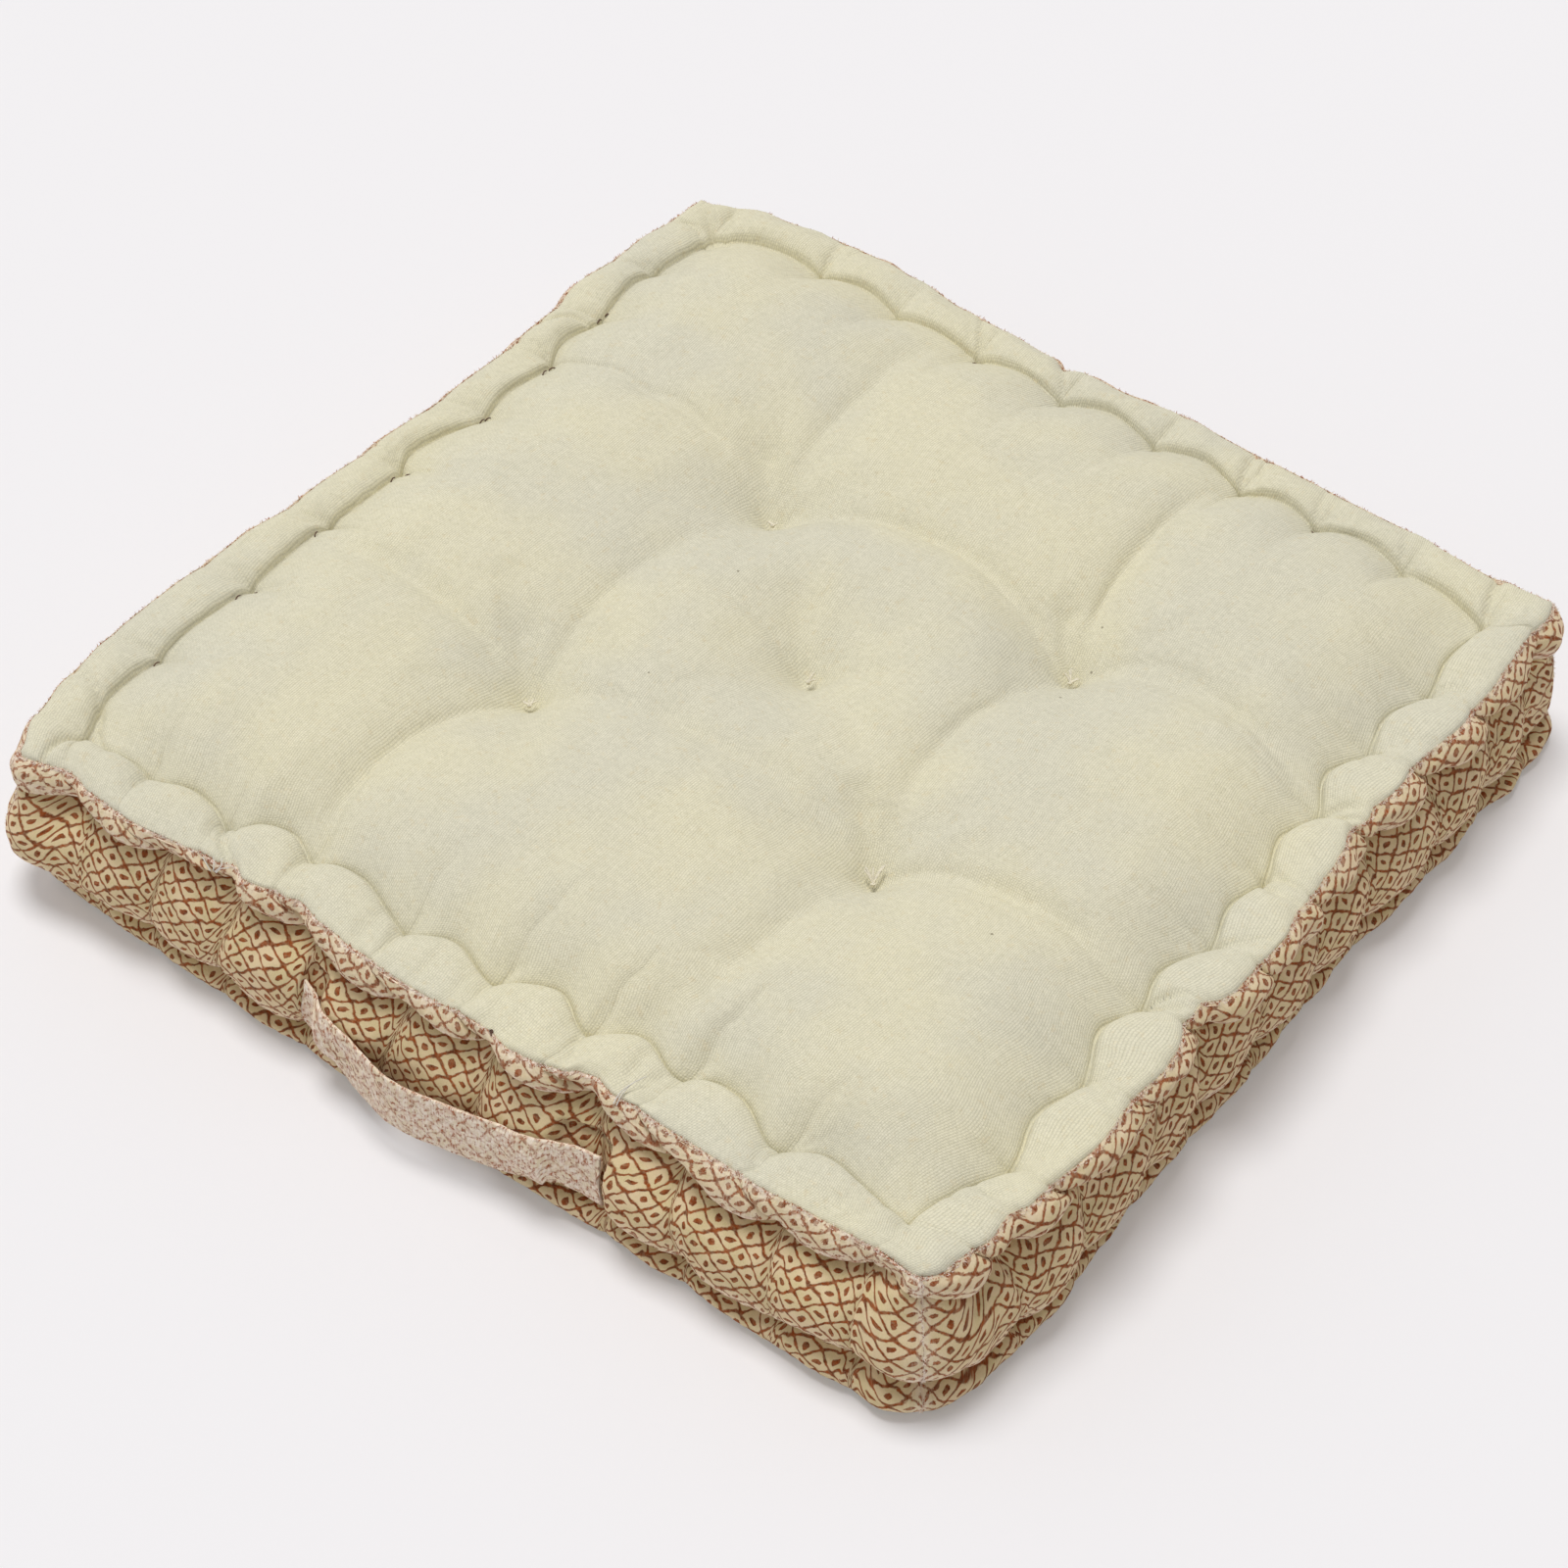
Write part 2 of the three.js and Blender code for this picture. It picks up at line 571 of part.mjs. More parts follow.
// The carry strap: its sewn ends follow the bulge of the wall, and its middle hangs clear of it
function carryStrap() {
  const { left: start, right: end, sewn, width, thickness, standOff, endDepth, sag, steps } = STRAP;
  const rises = [0.5, 0.25, 0, -0.25, -0.5].map((share) => share * width);
  const seat = (from, rise) => {
    const down = endDepth - rise;
    return GAP + borderReach(from - SEAT_MARGIN, from + sewn + SEAT_MARGIN, down - SEAT_BAND, down + SEAT_BAND);
  };
  const middle = borderReach(start + sewn, end - sewn, endDepth - width / 2, endDepth + width / 2 + sag) + standOff;
  const points = (rise, offset) =>
    Array.from({ length: steps + 1 }, (_, i) => {
      const along = lerp(start, end, i / steps);
      const share = clamp((along - start - sewn) / (end - start - 2 * sewn), 0, 1);
      const arch = Math.sin(Math.PI * share) ** STRAP_ARCH;
      const ends = lerp(seat(start, rise), seat(end - sewn, rise), smoothstep(share, 0.3, 0.7));
      const out = lerp(ends, middle, arch) + offset;
      const height = SEAM_HEIGHT - endDepth - sag * arch + rise;
      return new THREE.Vector3(CENTRE.x + along, CENTRE.y - HALF_SIDE - out, height);
    });
  const face = rises.map((rise) => points(rise, thickness));
  return sheet("carry_handle", face, rises.map((rise) => points(rise, 0)), paleVelvet);
}

// Joins closed meshes into one
const wasm = await Module();
wasm.setup();

function joined(name, geometries, material) {
  const solids = geometries.map((geometry) => {
    geometry.deleteAttribute("normal");
    geometry.deleteAttribute("uv");
    const merged = mergeVertices(geometry, 1e-4);
    return new wasm.Manifold(
      new wasm.Mesh({
        numProp: 3,
        vertProperties: merged.attributes.position.array,
        triVerts: new Uint32Array(merged.index.array),
      }),
    );
  });
  const whole = solids.reduce((sum, solid) => sum.add(solid)).getMesh();
  const geometry = new THREE.BufferGeometry();
  geometry.setAttribute("position", new THREE.BufferAttribute(whole.vertProperties, 3));
  geometry.setIndex(new THREE.BufferAttribute(whole.triVerts, 1));
  geometry.computeVertexNormals();
  const made = new THREE.Mesh(geometry, material);
  made.name = name;
  return made;
}

// A knot with its cut ends, seated in its tuft
function tuftTie({ tuft: name, ends }) {
  const tuft = TUFTS.find((each) => each.name === name);
  const knot = new THREE.IcosahedronGeometry(KNOT_RADIUS, 1);
  const strands = ends.map(({ turn, rise, length }) => {
    const strand = new THREE.CylinderGeometry(THREAD_RADIUS * 0.7, THREAD_RADIUS, length, 6);
    strand.translate(0, length / 2, 0);
    strand.rotateX(Math.PI / 2); // along +Z
    strand.rotateY(degToRad(90 - rise));
    strand.rotateZ(degToRad(turn));
    return strand;
  });
  const tie = joined(`tuft_tie_${name}`, [knot, ...strands], thread);
  const bottom = SEAM_HEIGHT + puff(tuft.x, tuft.y);
  tie.position.set(CENTRE.x + tuft.x, CENTRE.y + tuft.y, bottom + KNOT_SEAT);
  return tie;
}

const cushion = new THREE.Group();
cushion.name = "square_cushion";
cushion.add(filledCushion(), ...SIDES.map((_, s) => borderStrip(s)), carryStrap(), ...TIES.map(tuftTie));

export default cushion;
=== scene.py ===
"""A square floor cushion: tufted canvas faces, a printed velvet border and a carry strap.

Lengths in the tables and the shape functions are millimetres in the part's own frame. The floor is
z = 0 and the front side, with the strap, faces -Y. Sides are walked counter-clockwise from above, so
a place along the back or the left side runs against x or y.
"""

import math
from functools import cache

import bmesh
import bpy
import numpy as np
from bpy.props import FloatProperty, FloatVectorProperty
from mathutils import Matrix, Vector


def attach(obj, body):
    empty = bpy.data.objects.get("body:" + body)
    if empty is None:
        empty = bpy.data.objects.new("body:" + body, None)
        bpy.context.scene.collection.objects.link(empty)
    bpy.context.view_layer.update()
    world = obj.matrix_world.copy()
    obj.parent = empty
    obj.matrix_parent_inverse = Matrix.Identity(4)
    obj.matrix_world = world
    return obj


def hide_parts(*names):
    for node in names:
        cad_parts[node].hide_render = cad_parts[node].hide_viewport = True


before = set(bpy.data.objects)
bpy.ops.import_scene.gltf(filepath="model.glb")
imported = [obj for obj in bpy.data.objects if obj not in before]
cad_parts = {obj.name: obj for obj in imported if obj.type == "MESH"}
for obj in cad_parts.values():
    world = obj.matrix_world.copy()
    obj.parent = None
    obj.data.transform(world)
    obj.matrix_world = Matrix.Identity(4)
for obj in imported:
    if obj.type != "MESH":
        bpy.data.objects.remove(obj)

bl_info = {
    "name": "Square meditation cushion",
    "version": (1, 0, 0),
    "blender": (4, 5, 0),
    "location": "3D View > Sidebar > Cushion",
    "description": "Dresses the square floor cushion: canvas, velvet border, strap, ties and stage",
    "category": "Object",
}

MM = 0.001

# Driving sizes, the same as the solids'
HALF_SIDE = 300.0  # from the middle to the top seam
SEAM_HEIGHT = 98.0  # top seam above the floor
ROLL_WIDTH = 29.0  # top seam to the groove of the edge roll
VELVET = 2.0  # thickness of the border cloth
CENTRE = np.array([1.5, 6.5])  # middle of the seam square in the part's frame
CROWN = 18.0  # height of the face above the top seam
DOME = 6.0  # more in the middle
UPPER_GROOVE = 20.0  # depths of the border's two grooves under the top seam
LOWER_GROOVE = 77.0
TUFT_REACH = 28.0  # how fast the cloth rises out of a tuft
CREASE_ROUND = 4.0  # rounding at the bottom of a tuft or a valley
BASE_TUFT = 34.0  # radius of a tuft's hollow in the base

# Sizes of the fine surface alone
CROWN_EDGE = 60.0  # length over which the crown rises from the groove
STITCH_PULL = 0.5  # share of that rise that a stitch takes away beside it
STITCH_REACH = 9.0
STITCH_SPACING = 57.0  # a stretch between two stitches, as the roll's slit is measured
GROOVE_SLIT = 3.2  # depth of the slit at the bottom of the roll's groove
CORNER_FILL = 8.0  # how far the upper groove is filled at a corner seam
SEAM_CURL = 0.35  # rows over which the velvet curls in to the seam
WALL_GAP = 0.9  # between the velvet and the canvas wall behind it

# Edge roll on the canvas side, from the seam (0) to the groove (1): its height over the seam midway
# between two stitches and at a stitch
ROLL_AT = [0, 0.06, 0.18, 0.4, 0.62, 0.8, 0.93, 1]
ROLL_LOBE = [0, 1.5, 3.5, 5.0, 4.9, 3.4, 0.8, -3.5]
ROLL_STITCH = [0, 1.1, 2.3, 2.6, 1.6, -0.6, -3.4, -7.5]

# Section of the border: out and down midway between two stitches, out and down at a stitch, and the
# radius of the corner
BORDER = np.array(
    [
        (0, 0, -2, 0, 5),  # top seam
        (4, 5, -1, 4, 6),
        (5.5, 12, -3, 8, 7),
        (1.5, 20, -7, 12.5, 8),
        (-6, 23.5, -11, 16, 11),  # upper groove
        (1, 31, -5, 25, 11),
        (7, 45, 0, 42, 12),
        (7.5, 61, 1, 59, 12),
        (3, 72, -3, 71, 12),
        (-5, 78, -8, 76, 13),  # lower groove
        (4, 84, 0, 83, 12),
        (4, 91, 1, 91, 12),
        (0, 95, -1, 95, 13),  # base seam
    ],
    dtype=float,
)
GROOVES = (4, 9)  # rows of the section where it breaks into a crease
BASE_ROW = len(BORDER) - 1

# Each side, by its name and turn:
# groove, upper, lower: places of the stitches in the roll's groove and in the border's two grooves
# upper_pull, lower_pull: how hard the border's stitches are pulled
# pinch: how deep the wall folds in at a stitch
# lift: how far the roll lifts the seam between two stitches
# rubbed: how much the upper roll's pile is rubbed
# fat, hang: how much further the upper roll stands out and hangs down, for each stretch of stitches
# low: how much lower the lower groove lies there
# seam, belly, foot: how far the wall bows out of the true square at its top, at the places of
# seam_at, and at its middle and bottom, at the places of bow_at
# roll_in: how far in from the true square the roll's groove runs, at the places of roll_at
SIDES = [
    {
        "name": "front",
        "turn": 0,
        "groove": [-271, -226, -172, -121, -50, 9, 66, 122, 189, 271],
        "upper": [-250, -195, -145, -95, -25, 30, 98, 153, 215, 268],
        "lower": [-250, -207, -157, -98, -38, 28, 110, 162, 222, 270],
        "upper_pull": [0.6, 0.35, 1.1, 1, 0.8, 1, 1.2, 1, 0.7, 0.35],
        "lower_pull": [0.2, 1, 1, 0.9, 0.5, 0.5, 0.9, 1, 0.15, 0.9],
        "pinch": 0.62,
        "lift": 1.5,
        "rubbed": 0.24,
        "fat": [1.5, 0, -2, 0, 1, 0, 0, 0, 2, 1, -3],
        "hang": [-2, -3, -12, -3, 1, -4, -4, -2, 4, 0, -11],
        "low": [-2, 0, 3, 7, 5, 3, 4, 4, 5, -5, -7],
        "seam_at": [-300, -262, -248, -220, -180, -160, -149, -139, -114, -106, -86, -60, -45, 0, 30, 46,
                    64, 76, 86, 94, 108, 150, 200, 230, 270, 300],
        "seam": [0, -6, -2, 1, -2, -4, -8, -3, -6, -9, -4, 0, 2, 2.5, 1, 5,
                 5, 1, -5, -7, -2.5, -1.5, 1, -1, -2, 0],
        "bow_at": [-300, -285, -250, -190, -100, -45, 55, 98, 130, 250, 285, 300],
        "belly": [8, 8, 5, 4, 6, 10, 9, 8, 12, 12, 11, 9],
        "foot": [-7, -6, -2, 2, 5, 7.5, 9, 9, 10.5, 15, 16, 11],
        "roll_at": [-300, -271, -250, -226, -205, -190, -172, -158, -145, -121, -105, -88, -68, -50, -25, 9,
                    25, 40, 66, 95, 122, 140, 160, 189, 222, 248, 271, 300],
        "roll_in": [33, 33, 34, 32, 37, 35, 30, 41, 45, 38, 42, 41, 33, 28, 36, 28,
                    37, 42, 30, 43, 34, 41, 40, 26, 36, 32, 28, 28],
    },
    {
        "name": "right",
        "turn": 90,
        "groove": [-271, -216, -145, -87, -30, 27, 84, 140, 197, 271],
        "upper": [-249, -188, -114, -68, -12, 45, 99, 163, 224, 265],
        "lower": [-245, -193, -135, -78, -18, 38, 90, 160, 218, 262],
        "upper_pull": [1.3, 1.15, 0.6, 1.4, 1, 1.25, 1.3, 1.15, 1.1, 1.1],
        "lower_pull": [0.6, 1, 0.4, 1.1, 0.9, 1, 1, 0.8, 0.9, 0.9],
        "pinch": 0.95,
        "lift": 4.5,
        "rubbed": 0.06,
        "fat": [5, 4, 4, 4, 4, 5, 5, 5, 5, 5, 5],
        "hang": [3, 1, 0, 1, 0, 2, 1, 3, 4, 4, 3],
        "low": [2, 4, 6, 4, 2, 4, 4, 5, 5, 6, 3],
        "seam_at": [-300, -289, -262, -245, -232, -216, -182, -140, -122, -109, -82, -71, -62, -53, -25, -9,
                    13, 25, 45, 66, 77, 91, 101, 122, 153, 189, 211, 240, 257, 281, 300],
        "seam": [0, 6, 12, 9, 15, 17, 19, 17, 18, 16, 10, 8, 15, 17, 18, 17,
                 12, 14, 10, 7, 3.5, 6.5, 3.5, 6, 5, 8.5, 7, 3.5, 2, 3, 0],
        "bow_at": [-300, -270, -244, -206, -160, -116, -70, -30, 24, 77, 123, 170, 225, 245, 270, 300],
        "belly": [9, 17, 21, 22, 18, 14, 12, 12, 12, 10, 12, 13, 9, 7, 3, 1],
        "foot": [12, 17, 20, 20, 14, 12, 12, 13, 9, 7, 9, 11, 9, 12, 11, 7],
        "roll_at": [-300, -271, -255, -238, -216, -180, -145, -110, -87, -60, -30, 0, 27, 60, 84, 112,
                    140, 170, 197, 235, 271, 300],
        "roll_in": [27, 28, 24, 18, 8, 16, 11, 23, 16, 21, 11, 18, 15, 24, 18, 30,
                    22, 28, 20, 25, 24, 24],
    },
    {
        "name": "back",
        "turn": 180,
        "groove": [-271, -214, -157, -107, -46, 19, 80, 140, 198, 271],
        "upper": [-255, -200, -142, -82, -20, 40, 102, 155, 215, 266],
        "lower": [-252, -205, -150, -88, -28, 33, 94, 148, 208, 262],
        "upper_pull": [1, 0.8, 1, 1.1, 0.7, 1.1, 1, 0.8, 1, 1],
        "lower_pull": [0.8, 1, 0.6, 1, 0.9, 0.7, 1, 1, 0.7, 1],
        "pinch": 0.7,
        "lift": -1.5,
        "rubbed": 0.2,
        "fat": [2, 1, 0, 1, 0, 2, 1, 0, 1, 0, 2],
        "hang": [1, -3, 2, -1, 3, -4, 0, 2, -3, 1, 0],
        "low": [0, 4, 2, 5, 3, 6, 2, 4, 5, 3, 0],
        "seam_at": [-300, -270, -260, -200, -100, -50, -5, 20, 33, 44, 80, 112, 150, 180, 215, 255, 300],
        "seam": [0, 2, 0, 5, 8, 11, 8, 9, 4, 9, 12, 14, 20, 22, 21, 17, 0],
        "bow_at": [-300, -200, -50, 30, 150, 200, 300],
        "belly": [2, 8, 11, 9, 14, 14, 6],
        "foot": [7, 10, 10, 12, 12, 10, 0],
        "roll_at": [-300, -271, -245, -214, -185, -157, -130, -107, -78, -46, -10, 19, 50, 80, 115, 140,
                    170, 198, 228, 250, 271, 300],
        "roll_in": [38, 35, 28, 23, 18, 21, 17, 21, 15, 18, 13, 18, 14, 15, 13, 12,
                    7, 9, 8, 12, 20, 26],
    },
    {
        "name": "left",
        "turn": 270,
        "groove": [-271, -222, -168, -122, -62, 3, 63, 128, 200, 271],
        "upper": [-252, -200, -152, -96, -36, 24, 88, 148, 214, 265],
        "lower": [-250, -206, -158, -102, -42, 18, 80, 142, 208, 262],
        "upper_pull": [1, 1, 0.7, 1.1, 0.9, 1, 0.8, 1.1, 1, 1],
        "lower_pull": [0.9, 0.6, 1, 1, 0.7, 1, 0.9, 0.6, 1, 0.5],
        "pinch": 0.7,
        "lift": 0,
        "rubbed": 0.25,
        "fat": [2, 0, 1, 2, 0, 1, 0, 2, 1, 0, 2],
        "hang": [2, -2, 1, 3, -3, 1, -2, 2, 0, -3, 1],
        "low": [0, 3, 5, 2, 4, 6, 3, 2, 4, 1, -2],
        "seam_at": [-300, -240, -190, -165, -110, -60, 0, 55, 100, 150, 200, 240, 270, 300],
        "seam": [0, 6, 10, 6, 5, 7, 12, 15, 20, 23, 24, 19, 14, 0],
        "bow_at": [-300, -190, -110, 0, 100, 200, 285, 300],
        "belly": [6, 8, 8, 10, 14, 13, 9, 8],
        "foot": [0, 7, 9, 9, 9, 4, -5, -7],
        "roll_at": [-300, -271, -240, -222, -168, -150, -122, -90, -62, -35, -18, 3, 63, 128, 200, 240,
                    271, 300],
        "roll_in": [26, 26, 20, 16, 19, 16, 22, 19, 21, 13, 9, 13, 10, 9, 7, 10,
                    20, 26],
    },
]
LAST = len(SIDES[0]["groove"]) + 1

# The same extras of the border's section at the four corners, from the front-left one
CORNERS = {"fat": [1.5, -1, 1, 1.5], "hang": [-3, -9, 2, 0], "low": [0, -3, 2, 0]}

# Tufts: name, x and y from the middle, how far the top and the base are pulled in
TUFTS = [
    ("front_left", -111, -97, 27, 14),
    ("front_right", 119, -93, 27, 14),
    ("back_left", -95, 102, 27, 14),
    ("back_right", 114, 97, 27, 14),
    ("centre", 4, 4, 21, 14),
]

# Valleys between the puffs, and last the slope behind each tuft: three points, depth, reach
VALLEYS = [
    ((-111, -97), (-148, -190), (-125, -266), 9, 15),
    ((-111, -97), (-160, -74), (-280, -72), 8, 18),
    ((-111, -97), (-126, 5), (-95, 102), 9, 26),
    ((-111, -97), (2, -66), (119, -93), 7, 24),
    ((-95, 102), (12, 150), (114, 97), 11, 21),
    ((119, -93), (84, 5), (114, 97), 9, 23),
    ((-95, 102), (-108, 180), (-103, 270), 8, 22),
    ((114, 97), (88, 190), (103, 272), 8, 17),
    ((-95, 102), (-160, 138), (-272, 124), 5.5, 25),
    ((114, 97), (190, 132), (284, 86), 9, 16),
    ((119, -93), (180, -58), (287, -88), 9, 15),
    ((119, -93), (106, -180), (108, -268), 5.5, 22),
    ((4, 4), (-9, 18), (-24, 36), 11, 19),
    ((-111, -97), (-124, -84), (-138, -68), 11, 19),
    ((-95, 102), (-107, 115), (-120, 131), 13, 19),
    ((119, -93), (108, -80), (94, -66), 10.5, 15),
    ((114, 97), (104, 109), (92, 123), 12.5, 15),
]

# Creases across the edge roll: three points, depth, reach
ROLL_CREASES = [
    # the front roll tucks under the left one, and the back one under the right
    ((-279, -266), (-292, -284), (-281, -303), 6.0, 1.6),
    ((-262, -270), (-278, -262), (-286, -256), 3.6, 1.7),
    ((264, 306), (266, 288), (278, 258), 5.0, 1.7),
    # front
    ((-176, -268), (-176, -282), (-150, -294), 5.0, 1.7),
    ((-170, -270), (-164, -284), (-152, -296), 3.1, 1.9),
    ((-127, -264), (-124, -280), (-121, -297), 2.0, 1.7),
    ((-119, -262), (-117, -280), (-115, -295), 1.6, 1.6),
    ((-66, -270), (-63, -284), (-64, -300), 1.9, 1.6),
    ((-50, -272), (-49, -284), (-48, -300), 2.4, 1.6),
    ((-24, -276), (-20, -288), (-22, -301), 1.6, 1.6),
    ((-2, -280), (2, -290), (0, -302), 1.4, 1.6),
    ((22, -282), (27, -292), (24, -303), 1.3, 1.4),
    ((36, -278), (40, -290), (40, -303), 1.3, 1.6),
    ((66, -272), (72, -284), (78, -298), 2.0, 1.9),
    ((104, -266), (108, -278), (108, -294), 2.6, 1.6),
    ((122, -267), (118, -280), (112, -296), 1.9, 1.7),
    ((189, -275), (188, -286), (194, -298), 2.2, 1.9),
    ((249, -273), (244, -284), (238, -298), 1.9, 1.7),
    ((258, -274), (252, -286), (249, -299), 2.2, 1.7),
    # right
    ((284, -236), (296, -238), (312, -242), 4.3, 1.6),
    ((280, -250), (292, -248), (308, -252), 2.4, 1.6),
    ((290, -214), (302, -212), (312, -222), 1.4, 1.9),
    ((288, -146), (302, -150), (318, -160), 1.9, 2.0),
    ((285, -86), (294, -68), (309, -71), 5.8, 1.7),
    ((288, -88), (302, -80), (310, -76), 3.1, 1.7),
    ((288, -30), (300, -24), (316, -12), 2.6, 1.9),
    ((284, 29), (288, 14), (312, 18), 5.3, 1.6),
    ((286, 34), (298, 28), (312, 24), 2.2, 1.7),
    ((281, 84), (288, 94), (304, 96), 4.3, 1.7),
    ((282, 82), (292, 84), (306, 90), 4.1, 1.6),
    ((278, 140), (292, 142), (306, 136), 1.6, 1.9),
    ((277, 132), (288, 126), (305, 126), 1.9, 1.6),
    ((280, 198), (286, 210), (303, 205), 3.4, 1.6),
    # back
    ((-198, 289), (-204, 300), (-206, 318), 3.1, 1.7),
    ((-190, 292), (-194, 306), (-192, 320), 1.4, 1.7),
    ((-80, 281), (-86, 296), (-100, 313), 3.8, 1.6),
    ((-88, 283), (-96, 296), (-106, 310), 1.9, 1.6),
    ((-18, 279), (-26, 292), (-34, 304), 3.1, 1.6),
    ((46, 279), (44, 292), (48, 308), 1.6, 1.7),
    ((108, 275), (100, 290), (99, 309), 4.1, 1.6),
    ((116, 277), (109, 292), (106, 308), 1.9, 1.6),
    ((157, 276), (152, 288), (149, 304), 2.6, 1.7),
    ((215, 274), (208, 288), (204, 303), 2.4, 1.7),
    # back-left corner
    ((-268, 266), (-282, 276), (-296, 274), 3.1, 1.7),
    ((-266, 270), (-280, 284), (-292, 288), 2.2, 1.7),
    ((-262, 276), (-272, 290), (-276, 304), 2.2, 1.9),
    # left
    ((-282, 168), (-296, 164), (-305, 150), 5.3, 1.6),
    ((-275, 124), (-288, 138), (-306, 128), 3.4, 1.6),
    ((-277, 60), (-288, 56), (-306, 52), 2.4, 1.7),
    ((-282, 0), (-296, 8), (-312, 8), 3.1, 1.6),
    ((-287, -58), (-300, -54), (-316, -56), 1.6, 1.7),
    ((-287, -122), (-300, -122), (-320, -124), 1.7, 2.2),
    ((-284, -252), (-298, -234), (-322, -234), 4.8, 1.6),
]

# Fine creases of the canvas, which the solid leaves out: three points, depth, reach
CREASES = [
    ((-113, -104), (-152, -176), (-118, -262), 2.6, 2.4),
    ((-108, -112), (-136, -176), (-108, -262), 1.5, 2.6),
    ((-118, -92), (-158, -80), (-236, -76), 1.6, 3.2),
    ((-100, 108), (-110, 180), (-98, 262), 1.3, 3.0),
    ((-88, 96), (-45, 134), (24, 122), 1.6, 3.2),
    ((24, 122), (78, 112), (112, 94), 1.6, 3.0),
    ((112, 100), (88, 186), (99, 268), 2.0, 2.4),
    ((118, 104), (98, 190), (109, 266), 1.3, 2.6),
    ((118, 100), (158, 134), (205, 112), 2.0, 2.4),
    ((205, 112), (245, 100), (280, 84), 1.8, 2.4),
    ((150, 106), (200, 106), (262, 82), 1.0, 3.0),
    ((124, -88), (150, -68), (210, -72), 2.1, 2.5),
    ((210, -72), (250, -78), (284, -92), 1.7, 2.4),
    ((150, -86), (200, -84), (268, -102), 1.0, 3.0),
    ((120, -102), (106, -176), (112, -258), 1.3, 2.8),
    ((4, 10), (-4, 40), (-4, 72), 2.6, 2.4),
    ((-2, 4), (-34, 15), (-72, 18), 2.8, 2.2),
    ((8, 4), (26, 18), (54, 24), 2.4, 2.6),
    ((6, 0), (24, -14), (56, -22), 0.8, 4.0),
    ((-110, -90), (-124, -30), (-116, 30), 1.4, 4.0),
    ((114, 88), (98, 36), (102, -20), 1.4, 4.0),
    ((112, -88), (76, -72), (30, -74), 1.4, 3.6),
    ((-104, -92), (-64, -78), (-30, -72), 1.0, 3.6),
    ((-100, 104), (-150, 124), (-214, 124), 1.0, 4.0),
]

# Carry strap, sewn flat to the front border at both ends. At places along the side: the depth of its
# upper edge under the seam, its width, and how far its back stands out of the true square
STRAP = {
    "left": -92.0,
    "right": 109.0,
    "sewn": (10.0, 30.0),
    "thickness": 3.2,
    "at": [-92, -62, -18, 18, 55, 74, 78, 92, 109],
    "upper": [36, 44, 46.5, 46, 43, 39.5, 38.5, 35.5, 34],
    "wide": [36, 36, 36, 36, 36, 35, 29, 34, 38],
    "out": [6, 15, 26, 22, 16, 12, 12, 9.5, 8],
    "fold": 77.0,  # where the sewn end is turned over
}
STRAP_RINGS = 160  # along it
STRAP_ROUND = 48  # points round each ring
SEWN_PULL = 7.5  # how far a sewn end draws the wall in

# Thread ties: tuft, then turn, rise and length of each end
TIES = [
    ("front_left", [(60, 40, 6), (200, 35, 5), (130, 55, 4)]),
    ("front_right", [(88, 52, 15), (158, 50, 12), (118, 62, 12)]),
    ("back_left", [(20, 40, 4), (190, 40, 4)]),
    ("back_right", [(120, 52, 10), (30, 45, 7), (165, 55, 8)]),
    ("centre", [(80, 55, 8), (20, 50, 6)]),
]
KNOT_SEAT = 4.4  # middle of a knot over the bottom of its tuft
KNOT = 1.1  # radius of its loops
TIE_RADII = (0.75, 0.42)

# Stitches that show in the groove of the left roll and of the back one: place and turn
GROOVE_STITCHES = [
    (-281, 184, 80), (-281, 177, 96), (-275, 125, 70), (-274, 117, 100), (-275, 66, 80), (-274, 60, 95),
    (-281, 1, 75), (-284, -8, 100), (-287, -57, 70), (-289, -69, 110), (-288, -122, 85), (-289, -135, 95),
    (-291, -200, 85), (-82, 282, 10), (156, 277, 175),
]
STITCH_RADIUS = 0.42

# Loose ends at the front seam: name, thread, lines from the seam's plane, radius
LOOSE_ENDS = [
    (
        "white_whiskers",
        "white_thread",
        [
            [(-157, -302, 0), (-158, -300, 3), (-161, -297, 4)],
            [(-156, -302, 0), (-154, -299, 3), (-156, -296, 5)],
            [(-155, -302, 0), (-152, -301, 4), (-149, -298, 4)],
            [(-158, -303, 0), (-162, -302, 3), (-166, -300, 3)],
            [(111, -302, 0), (112, -297, 5), (115, -290, 8), (118, -284, 9)],
            [(113, -302, 0), (113, -298, 4), (114, -292, 7)],
        ],
        0.4,
    ),
    (
        "seam_knot",
        "brown_thread",
        [
            [(32, -303, 0.5), (33.1, -302.4, 1.5), (32, -301.6, 1.9), (31.2, -302.4, 1.2),
             (32.3, -303.2, 1.4)],
            [(32, -302.4, 1.5), (32.9, -303.3, 1.2), (33.3, -304, 0.3)],
        ],
        0.5,
    ),
]

# Sampling of the surfaces: steps from stitch to stitch, and rows between rows of the section
STEPS_PER_STITCH = 26
BORDER_STEPS = 32
BORDER_ROWS = ((-1, 0, 3), (0, 4, 24), (4, 9, 32), (9, 12, 12))

# The simulation of the cloth, on coarse grids. For the face and for the border: how much too large
# the cloth is cut, the passes that find its broad swelling, the share of that swelling that is kept,
# and the cap on the whole movement
TRIAL_STEPS = 11
TRIAL_ROWS = 37
PRESSURE = 4.0
SETTLING_FRAMES = 20
FACE_CLOTH = (0.025, 40, 0.12, 4.5)
BORDER_CLOTH = (0.035, 12, 0.3, 3.2)

# The base under the walls: rings by how far in and how high they lie
BASE_RINGS = ((8, 0.8), (14, 0.0), (24, 0.0), (30, 4.0), (38, 0.0), (60, 0.0))

